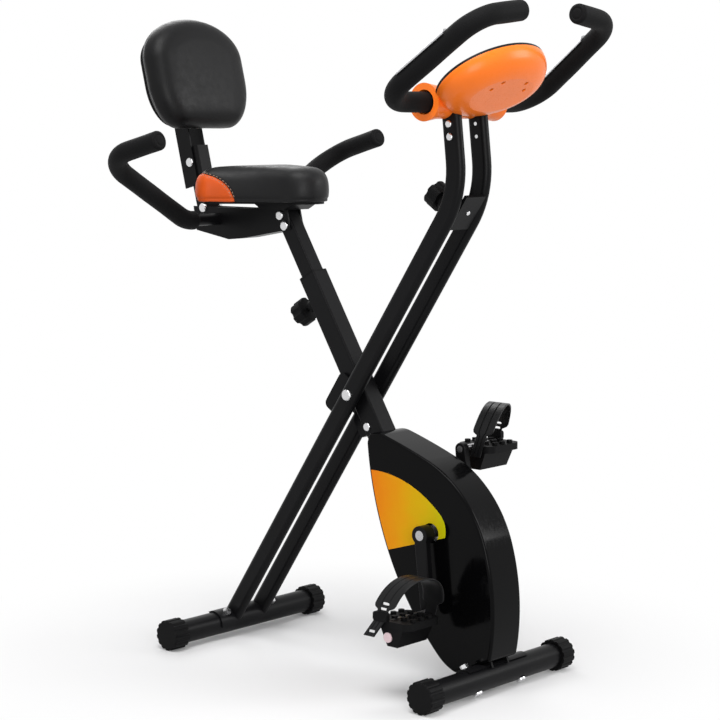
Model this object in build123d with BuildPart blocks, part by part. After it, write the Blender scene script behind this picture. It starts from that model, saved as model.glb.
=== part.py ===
from build123d import *
import os
from math import cos, radians, sin, tan

os.makedirs("parts", exist_ok=True)

# Folding exercise bike with a seat back. Millimetres. X points forward, Y to the rider's left, Z up.
# The origin is on the floor under the middle of the plan.

# Clearances
RUN_GAP = 0.05        # radial, shaft in bearing or sleeve
SLIDE_GAP = 0.3       # per side, between pieces that slide or swing past each other
BOLT_GAP = 0.2        # radial, bolt in its hole

# Side layout
PIVOT_X = 40.657
PIVOT_Z = 475.0
RAIL_ANGLE = 56.1     # rails, from the floor, rising forward
TUBE_ANGLE = 58.7     # main tube, from the floor, rising backward
FRONT_REACH = 290.5   # pivot to the front stabiliser, along the floor

# Stabilisers and their end caps
FOOT_FLAT = 0.5       # depth of the flat that stands on the floor
CAP_WALL = 6.5
CAP_LENGTH = 32.0
CAP_END = 6.0
CAP_EDGE = 1.5
CAP_SCALLOPS = 14
SCALLOP_RADIUS = 4.0
SCALLOP_DEPTH = 1.8
STAB_RADIUS = 21.0
STAB_WALL = 1.5
REAR_HALF = 194.5
FRONT_HALF = 192.5
SADDLE = 3.0
SADDLE_HALF = 78.0
SADDLE_SPREAD = 62.0  # half angle of the saddle round the stabiliser
STAB_BOLT_Y = 58.0
FRONT_BOLT_ANGLE = 126.0

# Fasteners
M8 = 4.0              # shank radius
M8_HEAD = 8.5
M8_HEAD_HEIGHT = 4.5
M8_NUT = 7.5          # over corners, as a radius
M8_NUT_HEIGHT = 6.5
THIN_HEAD = 7.5       # low bolt and nut between the rails
THIN_HEIGHT = 3.5
M6 = 3.0
M6_HEAD = 6.2
M6_HEAD_HEIGHT = 3.6
SCREW_RADIUS = 2.0
SCREW_HEAD = 4.0
SCREW_HEAD_HEIGHT = 2.2
HEAD_ROUND = 0.6      # share of a head's height

# Seat post inside the main tube; distances along the tube start at the pivot
POST = 30.0
POST_WALL = 2.0
POST_CORNER = 3.0
POST_BOTTOM = 104.0
POST_BOLT_DROPS = (10.0, 28.0)     # under the bracket's top
POST_HOLE = 4.5
POST_HOLES = 7
POST_PITCH = 20.0
BUSH_WALL = 2.5
BUSH_LENGTH = 30.0
BUSH_LIP = 4.0
TUBE_WALL = 1.5
TUBE_CORNER = 4.0
TUBE_ABOVE = 230.0
TUBE_BELOW = 132.0

# Fold pivot and its stop
PIVOT_BOLT = 5.0
SLEEVE_WALL = 3.0
PIVOT_WASHER = 3.0
CHEEK = 3.0
PIVOT_HEAD = 10.0
PIVOT_HEAD_HEIGHT = 6.0
PIVOT_NUT = 9.0       # over corners, as a radius
STOP_DEPTH = 46.6     # stop bracket's back, from the rail centreline
STOP_TOP = 14.0       # along the rails from the pivot
STOP_BOTTOM = -60.0
STOP_ROUND = 20.0
LOCK_FROM = 20.0      # lock plate on the main tube, below the pivot
LOCK_TO = 72.0
LOCK_DEPTH = 16.0
LOCK_BOLT_AT = 60.0
LOCK_BOLT_BACK = 8.0

# Rails
RAIL_DEPTH = 36.0
RAIL_WIDTH = 18.0
RAIL_WALL = 1.8
RAIL_BEND_AT = 422.0  # from the pivot
RAIL_BEND_RADIUS = 150.0
RAIL_LEAN = 6.2       # upper ends, back from upright
RAIL_TOP = 132.8      # from the bend's corner

# Fork plates, bottom bracket and drive
PLATE = 4.0
PLATE_EDGE = 11.0     # plate round each bearing
AXLE_FORWARD = 184.0  # crank axle from the pivot
AXLE_DROP = 217.0
AXLE_RADIUS = 8.5
SHELL_RADIUS = 20.0
SHELL_WALL = 3.0
BEARING_WIDTH = 10.0
FLY_FORWARD = 50.0    # flywheel from the crank axle
FLY_DROP = 118.0
FLY_RADIUS = 75.0
FLY_SIDE = 4.0        # flywheel to each fork plate
FLY_RIM = 14.0
FLY_HUB = 22.0
FLY_DISH = 8.0
FLY_SHAFT = 7.5
FLY_BEARING = 14.0
FLY_BEARING_WIDTH = 6.0
FLY_BEARING_STEP = 1.0   # bearing in from the plate's inner face
PULLEY_RADIUS = 80.0
PULLEY_HUB = 22.0
PULLEY_WINDOW = 17.0
PULLEY_WINDOWS = 5
SMALL_PULLEY = 14.0
PULLEY_WIDTH = 8.0
PULLEY_SIDE = 2.0     # far plate to the pulleys
BELT = 3.0
BELT_GAP = 0.3
MAGNET_PIN_BACK = 80.0   # brake hinge from the flywheel centre
MAGNET_PIN_UP = 60.0
MAGNET_PIN = 4.0
MAGNET_EYE = 8.0
MAGNET_GAP = 2.0
MAGNET_THICK = 4.0
MAGNET_PLATE = 4.0
MAGNET_HALF = 12.0
MAGNET_FROM = 142.0   # arc of the brake round the flywheel, degrees from +X
MAGNET_STEP = 14.0
MAGNET_SPAN = 10.0
MAGNETS = 4

# Housing round the drive, drawn from the crank axle
HOUSING_SIDE = 2.5    # pulleys to the housing's wall
HOUSING_WALL = 2.5
HOUSING_EDGE = 5.0
HOUSING_CORNER = 7.0
HOUSING_BACK = ((-145, 138), (-131, 53), (-96, -49), (14, -208), (52, -231))
HOUSING_FRONT = ((126, -199), (133, -107), (116, -12), (-10, 122), (-108, 155), (-141, 153))
HOUSING_SCREWS = ((-88, 133), (26, 86), (110, -44), (119, -167), (-68, -76), (9, -189))
AXLE_HOLE = 17.0
BOSS_RADIUS = 4.5
HOUSING_ROOM = 1.0    # housing round the main tube, plates and front saddle
PANEL = 0.6
PANEL_ARC = ((-136, 92), (-43, 75), (20, 34), (31, -4))
PANEL_FOOT = (-95, -42)
PANEL_EDGE = 5.5      # panel in from the housing's outline

# Cranks and pedals
CRANK = 130.0
CRANK_LEAN = 6.3      # near crank forward of straight down
CRANK_THICK = 13.0
CRANK_GAP = 17.0      # housing face to the arm
CRANK_HUB = 16.0
CRANK_ROOT = 12.8     # arm at the axle
CRANK_EDGE = 2.0
CRANK_HUB_IN = 8.0    # hub in from the arm's face
CRANK_EYE = 11.0
SPINDLE = 6.0
PEDAL_GAP = 14.0      # crank face to the pedal
PEDAL_WIDTH = 84.0
PEDAL_LENGTH = 76.0
PEDAL_SHIFT = 8.0     # body forward of the spindle
PEDAL_CORNER = 14.0
PEDAL_TOP = 5.0       # platform over the spindle
PEDAL_LIP = 12.0
PEDAL_BOTTOM = 38.0
PEDAL_KEEL = 22.0
PEDAL_TAPER = 5.0
TREAD = 5.0
TREAD_RADIUS = 5.5
TREAD_ROWS = 4
TREAD_COLUMNS = 3
TREAD_PITCH = 20.0
STRAP = 3.0
STRAP_WIDTH = 44.0
STRAP_END_WIDTH = 22.0
STRAP_SHIFT = 2.0     # forward of the spindle
STRAP_SKEW = 0.39     # inner end forward, per length across
STRAP_LEAN = 0.35     # top forward, per height
STRAP_NECK = 28.0     # wide part starts this far over the spindle
STRAP_FOOT = 6.0      # straight part over the spindle
STRAP_HEEL = 15.0     # inner end, under the spindle
STRAP_RISE = 76.0     # top of the strap over the spindle
STRAP_TAIL = 22.0
STRAP_FLARE = 12.0    # tail's end, out from the pedal
STRAP_ROOM = 1.5      # radial, strap round the spindle

# Seat, its bracket and its handles
BRACKET = 3.0
BRACKET_TOP = 787.0
BRACKET_FRONT_DEPTH = 34.0
BRACKET_DEPTH = 58.0
BRACKET_BACK_DEPTH = 44.0
BRACKET_FRONT = 22.0  # past the post's centre
BRACKET_BACK = 20.0   # past the upright's centre
BRACKET_LOW_BACK = 125.0     # its lowest place, behind the post
BRACKET_LOW_LENGTH = 40.0
BRACKET_LOW_RISE = 4.0
BRACKET_SLANT = 8.0
SEAT_BOARD = 6.0
SEAT_FLOOR = 798.0
SEAT_BOARD_INSET = 14.0
SEAT_LEVELS = ((0.0, 5.0), (8.0, 1.0), (28.0, 0.0), (45.0, 4.0), (57.0, 15.0), (64.0, 36.0))
SEAT_POCKET = 0.3     # cushion round its board
SEAT_REAR = 125.0     # behind the post at the bracket's top
SEAT_BACK_HALF = 84.0
SEAT_BACK_BOW = 8.0
SEAT_HALF = 131.0
SEAT_WIDE = 74.0      # widest place, behind the post
SEAT_WAIST = 9.0
SEAT_FRONT = 92.0     # in front of the post
NOSE_HALF = 52.0
NOSE_DEPTH = 46.0
SEAT_BACK_DRAW = 0.6  # shares of the inset at the back corners and the nose
NOSE_DRAW = 0.8
HIP_ALONG = 0.3       # middle of a rear corner, as shares of its reach
HIP_OUT = 0.72
CLAMP_BASE = 56.0
CLAMP_TOP = 96.0
CLAMP_HALF = 32.0
HANDLE_BACK = 153.5   # behind the post
HANDLE_Z = 765.0
HANDLE_RADIUS = 11.0
HANDLE_WALL = 1.5
HANDLE_BEND = 62.0
HANDLE_BASE_HALF = 97.0
HANDLE_OUT = 288.0
HANDLE_SHIFT = 2.0
HANDLE_RISE = 113.0
HANDLE_FORWARD = 126.0
HANDLE_TIP_RISE = 33.0
HANDLE_TIP_IN = 10.0
HANDLE_BARE = 76.0    # tube without foam, from the middle to each side
FOAM = 6.0

# Back rest; distances along the upright start at the bracket's top edge
UPRIGHT = 30.0
UPRIGHT_LEAN = 14.5
UPRIGHT_BACK = 197.0  # behind the post
UPRIGHT_BELOW = 34.0
UPRIGHT_ABOVE = 112.0
UPRIGHT_BOLTS = (-24.0, -4.0)
UPRIGHT_BOLT_FRONT = 6.0
BACK_BOLT_AT = 84.0
BACK_BOLT_REAR = 6.0  # behind the upright's axis
BACK_DOWN = 15.0      # travel of the back rest
BACK_UP = 20.0
BAR = 3.0
BAR_FRONT = 3.0       # bars' front edge, in front of the upright's axis
BAR_DEPTH = 34.0
BAR_LIP = 13.0
LIP_FROM = 147.0      # lips start above the upright
BAR_FROM = 40.0
BAR_TO = 290.0
BOARD = 9.0
BOARD_INSET = 12.0
PAD_FROM = 138.0
PAD_HEIGHT = 208.0
PAD_HALF = 116.0
PAD_FOOT_HALF = 62.0
PAD_HIP = 84.0        # rounding of the lower corners and of the top
PAD_SHOULDER = 80.0
PAD_LEVELS = ((0.0, 7.0), (8.0, 0.0), (24.0, 1.0), (39.0, 9.0), (48.0, 24.0), (52.0, 46.0))

# Handlebar
BAR_BACK = 11.7       # handlebar axis behind the rails' top end
BAR_RISE = 17.0
BAR_RADIUS = 12.7
BAR_WALL = 1.5
BAR_BEND = 52.0
BAR_HALF = 197.0
BAR_FORWARD = 177.0
BAR_UP = 128.0
BAR_UPPER_HALF = 174.0
TIP_FORWARD = 5.0
TIP_UP = 12.0
TIP_HALF = 75.0
GRIP = 4.0
GRIP_FROM = 74.0
GRIP_END = 4.0
PULSE = 3.0
PULSE_LENGTH = 105.0
PULSE_SPREAD = 62.0
STEM_LENGTH = 62.0
STEM_GAP = 0.1
STEM_BOLTS = (18.0, 39.0)   # below the rails' top end

# Console
CONSOLE_SLOPE = 36.0
CONSOLE_AT = 77.0     # middle of the outline, up from the handlebar
CONSOLE_LENGTH = 84.0    # half sizes of the outline
CONSOLE_HALF = 110.0
CONSOLE_RIM = -5.0    # rim, from the handlebar axis towards the face
CONSOLE_WALL = 2.6
CONSOLE_LEVELS = ((0.0, 0.0), (-9.0, 1.0), (-20.0, 6.0), (-29.0, 15.0), (-35.0, 27.0), (-38.0, 40.0))
CONSOLE_ROOM = 0.5
CONSOLE_SCREWS = ((92, 42), (110, 30))
COLLAR_RADIUS = 27.0
COLLAR_FLARE = 31.0
COLLAR_HALF = 90.0
COLLAR_NECK = 62.0
COLLAR_MOUTH = 20.0
COLLAR_MOUTH_DEPTH = 24.0
FACE = 4.0
LENS = 1.5
LENS_AT = 110.0
LENS_LENGTH = 44.0
LENS_WIDTH = 86.0
LENS_CORNER = 6.0
BUTTON_AT = 64.0
BUTTON_RADIUS = 9.0
BUTTON_FLANGE = 2.0
BUTTON_PROUD = 2.2
BUTTON_EDGE = 1.0
DOOR_AT = 66.0
DOOR_LENGTH = 26.0
DOOR_WIDTH = 46.0
DOOR_CORNER = 4.0

# Knobs
KNOB_RADIUS = 23.0
KNOB_DEPTH = 24.0
KNOB_EDGE = 3.0
KNOB_FLUTES = 6
KNOB_FLUTE_RADIUS = 9.0
KNOB_FLUTE_OUT = 29.0
KNOB_SHAFT = 5.0
KNOB_SHAFT_LENGTH = 30.0
TENSION_AT = 379.0    # along the rails from the pivot
TENSION_FACE = 67.0   # knob's outer face behind the rail centreline
TENSION_BOSS = 15.0
TENSION_PLATE = 6.0
TENSION_PLATE_FRONT = 12.0
TENSION_PLATE_FROM = 358.0
TENSION_PLATE_TO = 424.0
TENSION_SCREW_AT = 392.0
SEAT_KNOB_AT = 186.0
SEAT_KNOB_FACE = 66.0
PIN_RADIUS = 4.0
PIN_BOSS = 11.0
PIN_BOSS_LENGTH = 14.0

# Worked out from the sizes above
TUBE = POST + 2 * BUSH_WALL + 2 * TUBE_WALL
TUBE_BORE = TUBE - 2 * TUBE_WALL
FOOT_RADIUS = STAB_RADIUS + CAP_WALL
FOOT_Z = FOOT_RADIUS - FOOT_FLAT
RAIL_IN = TUBE / 2 + PIVOT_WASHER + CHEEK
RAIL_Y = RAIL_IN + RAIL_WIDTH / 2
RAIL_OUT = RAIL_IN + RAIL_WIDTH
RAIL_FOOT = (PIVOT_Z - FOOT_Z) / sin(radians(RAIL_ANGLE))
REAR_X = PIVOT_X - RAIL_FOOT * cos(radians(RAIL_ANGLE))
FRONT_X = PIVOT_X + FRONT_REACH
PLATE_OUT = TUBE / 2 + PLATE
AXLE = (PIVOT_X + AXLE_FORWARD, PIVOT_Z - AXLE_DROP)
FLYWHEEL = (AXLE[0] + FLY_FORWARD, AXLE[1] - FLY_DROP)
FLY_HALF = TUBE / 2 - FLY_SIDE
MAGNET_HINGE = (FLYWHEEL[0] - MAGNET_PIN_BACK, FLYWHEEL[1] + MAGNET_PIN_UP)
PULLEY_IN = PLATE_OUT + PULLEY_SIDE
PULLEY_OUT = PULLEY_IN + PULLEY_WIDTH
HOUSING_HALF = PULLEY_OUT + HOUSING_SIDE + HOUSING_WALL
CRANK_IN = HOUSING_HALF + CRANK_GAP
CRANK_OUT = CRANK_IN + CRANK_THICK
CRANK_WAY = (sin(radians(CRANK_LEAN)), -cos(radians(CRANK_LEAN)))
NEAR_SPINDLE = (AXLE[0] + CRANK * CRANK_WAY[0], AXLE[1] + CRANK * CRANK_WAY[1])
FAR_SPINDLE = (AXLE[0] - CRANK * CRANK_WAY[0], AXLE[1] - CRANK * CRANK_WAY[1])
PEDAL_IN = CRANK_OUT + PEDAL_GAP
PEDAL_MID = PEDAL_IN + PEDAL_WIDTH / 2
PEDAL_OUT = PEDAL_IN + PEDAL_WIDTH
BRACKET_IN = POST / 2
BRACKET_OUT = BRACKET_IN + BRACKET
BAR_IN = UPRIGHT / 2 + SLIDE_GAP
GRIP_RADIUS = BAR_RADIUS + GRIP
FACE_TOP = CONSOLE_RIM + FACE
CONSOLE_DEPTH = -CONSOLE_RIM - CONSOLE_LEVELS[-1][0]

POST_TOP = (SEAT_FLOOR - PIVOT_Z - POST / 2 * cos(radians(TUBE_ANGLE))) / sin(radians(TUBE_ANGLE))
POST_AT_BRACKET = PIVOT_X - (BRACKET_TOP - PIVOT_Z) / tan(radians(TUBE_ANGLE))
BRACKET_LOW_AT = POST_AT_BRACKET - BRACKET_LOW_BACK
SEAT_BACK = POST_AT_BRACKET - SEAT_REAR
SEAT_WIDE_AT = POST_AT_BRACKET - SEAT_WIDE
SEAT_NOSE = POST_AT_BRACKET + SEAT_FRONT
HANDLE_X = POST_AT_BRACKET - HANDLE_BACK
UPRIGHT_X = POST_AT_BRACKET - UPRIGHT_BACK

# Side planes: local x runs up each member, local y lies across it in the side view
RAIL = Plane(
    origin=(PIVOT_X, 0, PIVOT_Z),
    x_dir=(cos(radians(RAIL_ANGLE)), 0, sin(radians(RAIL_ANGLE))),
    z_dir=(0, -1, 0),
)  # local y points to the rider
UPPER = Plane(
    origin=RAIL.from_local_coords((RAIL_BEND_AT, 0, 0)),
    x_dir=(-sin(radians(RAIL_LEAN)), 0, cos(radians(RAIL_LEAN))),
    z_dir=(0, -1, 0),
)  # upper ends of the rails, local y points to the rider
MAIN = Plane(
    origin=(PIVOT_X, 0, PIVOT_Z),
    x_dir=(-cos(radians(TUBE_ANGLE)), 0, sin(radians(TUBE_ANGLE))),
    z_dir=(0, 1, 0),
)  # local y points to the front
BACK = Plane(
    origin=(UPRIGHT_X, 0, BRACKET_TOP),
    x_dir=(-sin(radians(UPRIGHT_LEAN)), 0, cos(radians(UPRIGHT_LEAN))),
    z_dir=(0, 1, 0),
)  # local y points to the front
RAIL_END = UPPER.from_local_coords((RAIL_TOP, 0, 0))
BAR_AXIS = (RAIL_END.X - BAR_BACK, RAIL_END.Z + BAR_RISE)
CONSOLE = Plane(
    origin=(BAR_AXIS[0], 0, BAR_AXIS[1]),
    x_dir=(cos(radians(CONSOLE_SLOPE)), 0, sin(radians(CONSOLE_SLOPE))),
    z_dir=(-sin(radians(CONSOLE_SLOPE)), 0, cos(radians(CONSOLE_SLOPE))),
)  # local x runs up the display, local z out of its face


def spot(side, along, shift=0.0):
    """X and Z of a place on a side plane."""
    point = side.from_local_coords((along, shift, 0))
    return (point.X, point.Z)


def across(side, along, y=0.0):
    """Plane square to a member: its x is +Y, its z runs up the member."""
    at = side.from_local_coords((along, 0, 0))
    return Plane(origin=(at.X, y, at.Z), x_dir=(0, 1, 0), z_dir=side.x_dir)


def facing(side, along, shift, way):
    """Plane that looks out of a member in its side view: way 1 along local y, -1 against it."""
    at = side.from_local_coords((along, shift, 0))
    return Plane(origin=at, x_dir=(0, 1, 0), z_dir=side.y_dir * way)


def square_tube(section, length, outside, wall, corner):
    """Square tube with rounded corners, standing on the plane `section`."""
    with BuildPart() as piece:
        with BuildSketch(section):
            RectangleRounded(outside, outside, corner)
            if wall:
                bore = outside - 2 * wall
                RectangleRounded(bore, bore, corner - wall / 2, mode=Mode.SUBTRACT)
        extrude(amount=length)
    return piece.part


def slot_bar(section, length, depth, width):
    """Flat-oval bar standing on `section`, with its depth in the side view."""
    with BuildPart() as piece:
        with BuildSketch(section):
            SlotOverall(depth, width, rotation=90)
        extrude(amount=length)
    return piece.part


def bent_tube(points, bend, radius, bore=0.0):
    """Round tube through `points`, with an arc of radius `bend` at each corner."""
    start = Vector(*points[0])
    with BuildPart() as piece:
        with BuildLine() as route:
            FilletPolyline(*points, radius=bend)
        with BuildSketch(Plane(origin=start, z_dir=Vector(*points[1]) - start)):
            Circle(radius)
            if bore:
                Circle(bore, mode=Mode.SUBTRACT)
        sweep(path=route.wires()[0])
    return piece.part


def rod(place, radius, y_from, y_to):
    """Plain cylinder along Y at the X and Z of `place`."""
    with BuildPart() as piece:
        with BuildSketch(Plane.XZ.offset(-y_to)):
            with Locations(place):
                Circle(radius)
        extrude(amount=y_to - y_from)
    return piece.part


def ring(place, radius, bore, y_from, y_to):
    """Plain ring along Y at the X and Z of `place`."""
    with BuildPart() as piece:
        with BuildSketch(Plane.XZ.offset(-y_to)):
            with Locations(place):
                Circle(radius)
                Circle(bore, mode=Mode.SUBTRACT)
        extrude(amount=y_to - y_from)
    return piece.part


def bolt(seat, grip, shank, head, head_height, nut=0.0, nut_height=0.0):
    """Bolt along the z axis of `seat`: domed head below it, hexagon nut past the clamped length."""
    with BuildPart() as piece:
        with BuildSketch(seat.offset(-head_height)):
            Circle(head)
        extrude(amount=head_height)
        crown = piece.faces().sort_by(Axis(seat.origin, seat.z_dir))[0]
        fillet(crown.edges(), HEAD_ROUND * head_height)
        with BuildSketch(seat):
            Circle(shank)
        extrude(amount=grip)
        if nut:
            with BuildSketch(seat.offset(grip)):
                RegularPolygon(nut, 6)
            extrude(amount=nut_height)
    return piece.part


def both_sides(near):
    """A near-side piece and its mirror image on the far side, as two solids."""
    with BuildPart() as pair:
        add(near)
        mirror(about=Plane.XZ)
    return pair.part


def left_of(near):
    """Mirror image of a near-side piece, alone."""
    with BuildPart() as piece:
        add(mirror(near, about=Plane.XZ, mode=Mode.PRIVATE))
    return piece.part


def side_seat(place, y):
    """Plane on a near-side face at `y`, its z running to the far side."""
    return Plane(origin=(place[0], y, place[1]), x_dir=(1, 0, 0), z_dir=(0, 1, 0))


def knob(face, shaft, shaft_length):
    """Fluted hand knob with its outer face on `face` and a round shaft behind it."""
    with BuildPart() as piece:
        with BuildSketch(face.offset(-KNOB_DEPTH)):
            Circle(KNOB_RADIUS)
            with PolarLocations(KNOB_FLUTE_OUT, KNOB_FLUTES):
                Circle(KNOB_FLUTE_RADIUS, mode=Mode.SUBTRACT)
        extrude(amount=KNOB_DEPTH)
        front = piece.faces().sort_by(Axis(face.origin, face.z_dir))[-1]
        fillet(front.edges(), KNOB_EDGE)
        with BuildSketch(face.offset(-KNOB_DEPTH)):
            Circle(shaft)
        extrude(amount=-shaft_length)
    return piece.part


# Stabilisers, the same at both ends
def bolt_seat(x, y, angle):
    """Plane under a stabiliser bolt's head: its z runs up through the tube at `angle` from +X."""
    way = Vector(cos(radians(angle)), 0, sin(radians(angle)))
    return Plane(origin=Vector(x, y, FOOT_Z) - way * STAB_RADIUS, x_dir=(0, 1, 0), z_dir=way)


def bolt_bores(x, angle):
    """The two bolt holes through a stabiliser and its saddle, as solids to cut away."""
    with BuildPart() as piece:
        for y in (-STAB_BOLT_Y, STAB_BOLT_Y):
            with BuildSketch(bolt_seat(x, y, angle)):
                Circle(M8 + BOLT_GAP)
        extrude(amount=2 * STAB_RADIUS + SADDLE)
    return piece.part


def stab_tube(x, half, angle):
    """Floor tube, bored for its two bolts."""
    length = half - CAP_END
    with BuildPart() as piece:
        add(ring((x, FOOT_Z), STAB_RADIUS, STAB_RADIUS - STAB_WALL, -length, length))
        add(bolt_bores(x, angle), mode=Mode.SUBTRACT)
    return piece.part


def stab_saddle(x, angle):
    """Curved plate on a stabiliser, under the frame's lower end, with flats for the nuts."""
    edge = STAB_RADIUS * cos(radians(SADDLE_SPREAD))
    low = (x + edge * cos(radians(angle)), FOOT_Z + edge * sin(radians(angle)), 0)
    with BuildPart() as piece:
        with BuildSketch(Plane.XZ):
            with Locations((x, FOOT_Z)):
                Circle(STAB_RADIUS + SADDLE)
                Circle(STAB_RADIUS, mode=Mode.SUBTRACT)
            with Locations(Location(low, (0, 0, angle))):
                keep = 3 * STAB_RADIUS
                Rectangle(keep, keep, align=(Align.MIN, Align.CENTER), mode=Mode.INTERSECT)
        extrude(amount=SADDLE_HALF, both=True)
        add(bolt_bores(x, angle), mode=Mode.SUBTRACT)
    return piece.part


def stab_bolts(x, angle):
    """The two bolts and nuts that hold a stabiliser in its saddle."""
    with BuildPart() as piece:
        for y in (-STAB_BOLT_Y, STAB_BOLT_Y):
            grip = 2 * STAB_RADIUS + SADDLE
            add(bolt(bolt_seat(x, y, angle), grip, M8, M8_HEAD, M8_HEAD_HEIGHT, M8_NUT, M8_NUT_HEIGHT))
    return piece.part


def stab_caps(x, half):
    """Scalloped end caps, flat where they stand on the floor."""
    first = -90 + 180 / CAP_SCALLOPS
    with BuildPart() as piece:
        with BuildSketch(Plane.XZ.offset(half - CAP_LENGTH)):
            with Locations((x, FOOT_Z)):
                Circle(FOOT_RADIUS)
            with Locations((x, FOOT_Z)):
                with PolarLocations(FOOT_RADIUS + SCALLOP_RADIUS - SCALLOP_DEPTH, CAP_SCALLOPS, first):
                    Circle(SCALLOP_RADIUS, mode=Mode.SUBTRACT)
        extrude(amount=CAP_LENGTH)
        chamfer(piece.faces().sort_by(Axis.Y)[0].edges(), CAP_EDGE)
        add(rod((x, FOOT_Z), STAB_RADIUS, -(half - CAP_END), 0), mode=Mode.SUBTRACT)
        split(bisect_by=Plane.XY, keep=Keep.TOP)
    return both_sides(piece.part)


with BuildPart() as front_stabiliser:
    add(stab_tube(FRONT_X, FRONT_HALF, FRONT_BOLT_ANGLE))
with BuildPart() as front_saddle:
    add(stab_saddle(FRONT_X, FRONT_BOLT_ANGLE))
with BuildPart() as front_end_caps:
    add(stab_caps(FRONT_X, FRONT_HALF))
with BuildPart() as rear_stabiliser:
    add(stab_tube(REAR_X, REAR_HALF, RAIL_ANGLE))
with BuildPart() as rear_saddle:
    add(stab_saddle(REAR_X, RAIL_ANGLE))
with BuildPart() as rear_end_caps:
    add(stab_caps(REAR_X, REAR_HALF))

# Main tube with the pivot sleeve and the seat pin's boss welded on
SLEEVE_HALF = TUBE / 2 + PIVOT_WASHER - SLIDE_GAP
with BuildPart() as main_tube:
    add(square_tube(across(MAIN, -TUBE_BELOW), TUBE_BELOW + TUBE_ABOVE, TUBE, TUBE_WALL, TUBE_CORNER))
    add(rod((PIVOT_X, PIVOT_Z), PIVOT_BOLT + RUN_GAP + SLEEVE_WALL, -SLEEVE_HALF, SLEEVE_HALF))
    add(rod((PIVOT_X, PIVOT_Z), PIVOT_BOLT + RUN_GAP, -SLEEVE_HALF, SLEEVE_HALF), mode=Mode.SUBTRACT)
    with BuildSketch(facing(MAIN, SEAT_KNOB_AT, -TUBE / 2, -1)):
        Circle(PIN_BOSS)
    extrude(amount=PIN_BOSS_LENGTH)
    with BuildSketch(facing(MAIN, SEAT_KNOB_AT, -POST / 2, -1)):
        Circle(PIN_RADIUS + RUN_GAP)
    extrude(amount=TUBE / 2 - POST / 2 + PIN_BOSS_LENGTH, mode=Mode.SUBTRACT)
    add(rod(spot(MAIN, -LOCK_BOLT_AT, -LOCK_BOLT_BACK), M8 + BOLT_GAP, -TUBE, TUBE), mode=Mode.SUBTRACT)

with BuildPart() as seat_tube_bush:
    inside = POST + 2 * SLIDE_GAP
    with BuildSketch(across(MAIN, TUBE_ABOVE - BUSH_LENGTH)):
        RectangleRounded(TUBE_BORE, TUBE_BORE, TUBE_CORNER - TUBE_WALL / 2)
    extrude(amount=BUSH_LENGTH)
    with BuildSketch(across(MAIN, TUBE_ABOVE)):
        RectangleRounded(TUBE, TUBE, TUBE_CORNER)
    extrude(amount=BUSH_LIP)
    with BuildSketch(across(MAIN, TUBE_ABOVE - BUSH_LENGTH)):
        RectangleRounded(inside, inside, POST_CORNER)
    extrude(amount=BUSH_LENGTH + BUSH_LIP, mode=Mode.SUBTRACT)

with BuildPart() as fold_lock_plate:
    with BuildSketch(MAIN):
        with BuildLine():
            back = -TUBE / 2 - LOCK_DEPTH
            Polyline(
                (-LOCK_FROM, -TUBE / 2), (-LOCK_FROM - LOCK_DEPTH, back), (-LOCK_TO + CHEEK, back),
                (-LOCK_TO, -TUBE / 2), close=True,
            )
        make_face()
    extrude(amount=TUBE / 2 - TUBE_CORNER, both=True)

# Fork plates carry the bottom bracket and the flywheel and stand on the front saddle
def plate_face(grow):
    """Outline of a fork plate in the side view, let out by `grow`."""
    with BuildSketch(Plane.XZ) as face:
        with Locations(spot(MAIN, -TUBE_BELOW + TUBE / 2)):
            Circle(TUBE / 2 - TUBE_CORNER + grow)
        with Locations(AXLE):
            Circle(SHELL_RADIUS + PLATE_EDGE + grow)
        with Locations(FLYWHEEL):
            Circle(FLY_BEARING + PLATE_EDGE + grow)
        with Locations(MAGNET_HINGE):
            Circle(MAGNET_PIN + PLATE_EDGE + grow)
        with Locations((FRONT_X, FOOT_Z)):
            Circle(STAB_RADIUS + grow)
        make_hull()
    return face.sketch


with BuildPart() as fork_plates:
    extrude(plate_face(0), amount=PLATE_OUT)
    add(rod(AXLE, SHELL_RADIUS, -PLATE_OUT, 0), mode=Mode.SUBTRACT)
    add(rod(FLYWHEEL, FLY_BEARING, -PLATE_OUT, 0), mode=Mode.SUBTRACT)
    add(rod(MAGNET_HINGE, MAGNET_PIN + RUN_GAP, -PLATE_OUT, 0), mode=Mode.SUBTRACT)
    add(rod((FRONT_X, FOOT_Z), STAB_RADIUS + SADDLE, -PLATE_OUT, 0), mode=Mode.SUBTRACT)
    extrude(plate_face(PLATE), amount=PLATE_OUT - PLATE, mode=Mode.SUBTRACT)
    mirror(about=Plane.XZ)

with BuildPart() as bottom_bracket_shell:
    add(ring(AXLE, SHELL_RADIUS, SHELL_RADIUS - SHELL_WALL, -PLATE_OUT, PLATE_OUT))

FLY_BEARING_IN = TUBE / 2 - FLY_BEARING_STEP
with BuildPart() as bearings:
    bore = AXLE_RADIUS + RUN_GAP
    add(both_sides(ring(AXLE, SHELL_RADIUS - SHELL_WALL, bore, -PLATE_OUT, BEARING_WIDTH - PLATE_OUT)))
    bore = FLY_SHAFT + RUN_GAP
    add(both_sides(ring(FLYWHEEL, FLY_BEARING, bore, -FLY_BEARING_IN - FLY_BEARING_WIDTH, -FLY_BEARING_IN)))

with BuildPart() as front_bolts:
    add(stab_bolts(FRONT_X, FRONT_BOLT_ANGLE))
    lock_seat = side_seat(spot(MAIN, -LOCK_BOLT_AT, -LOCK_BOLT_BACK), -TUBE / 2)
    add(bolt(lock_seat, TUBE, M8, THIN_HEAD, THIN_HEIGHT, M8_NUT, THIN_HEIGHT))

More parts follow.
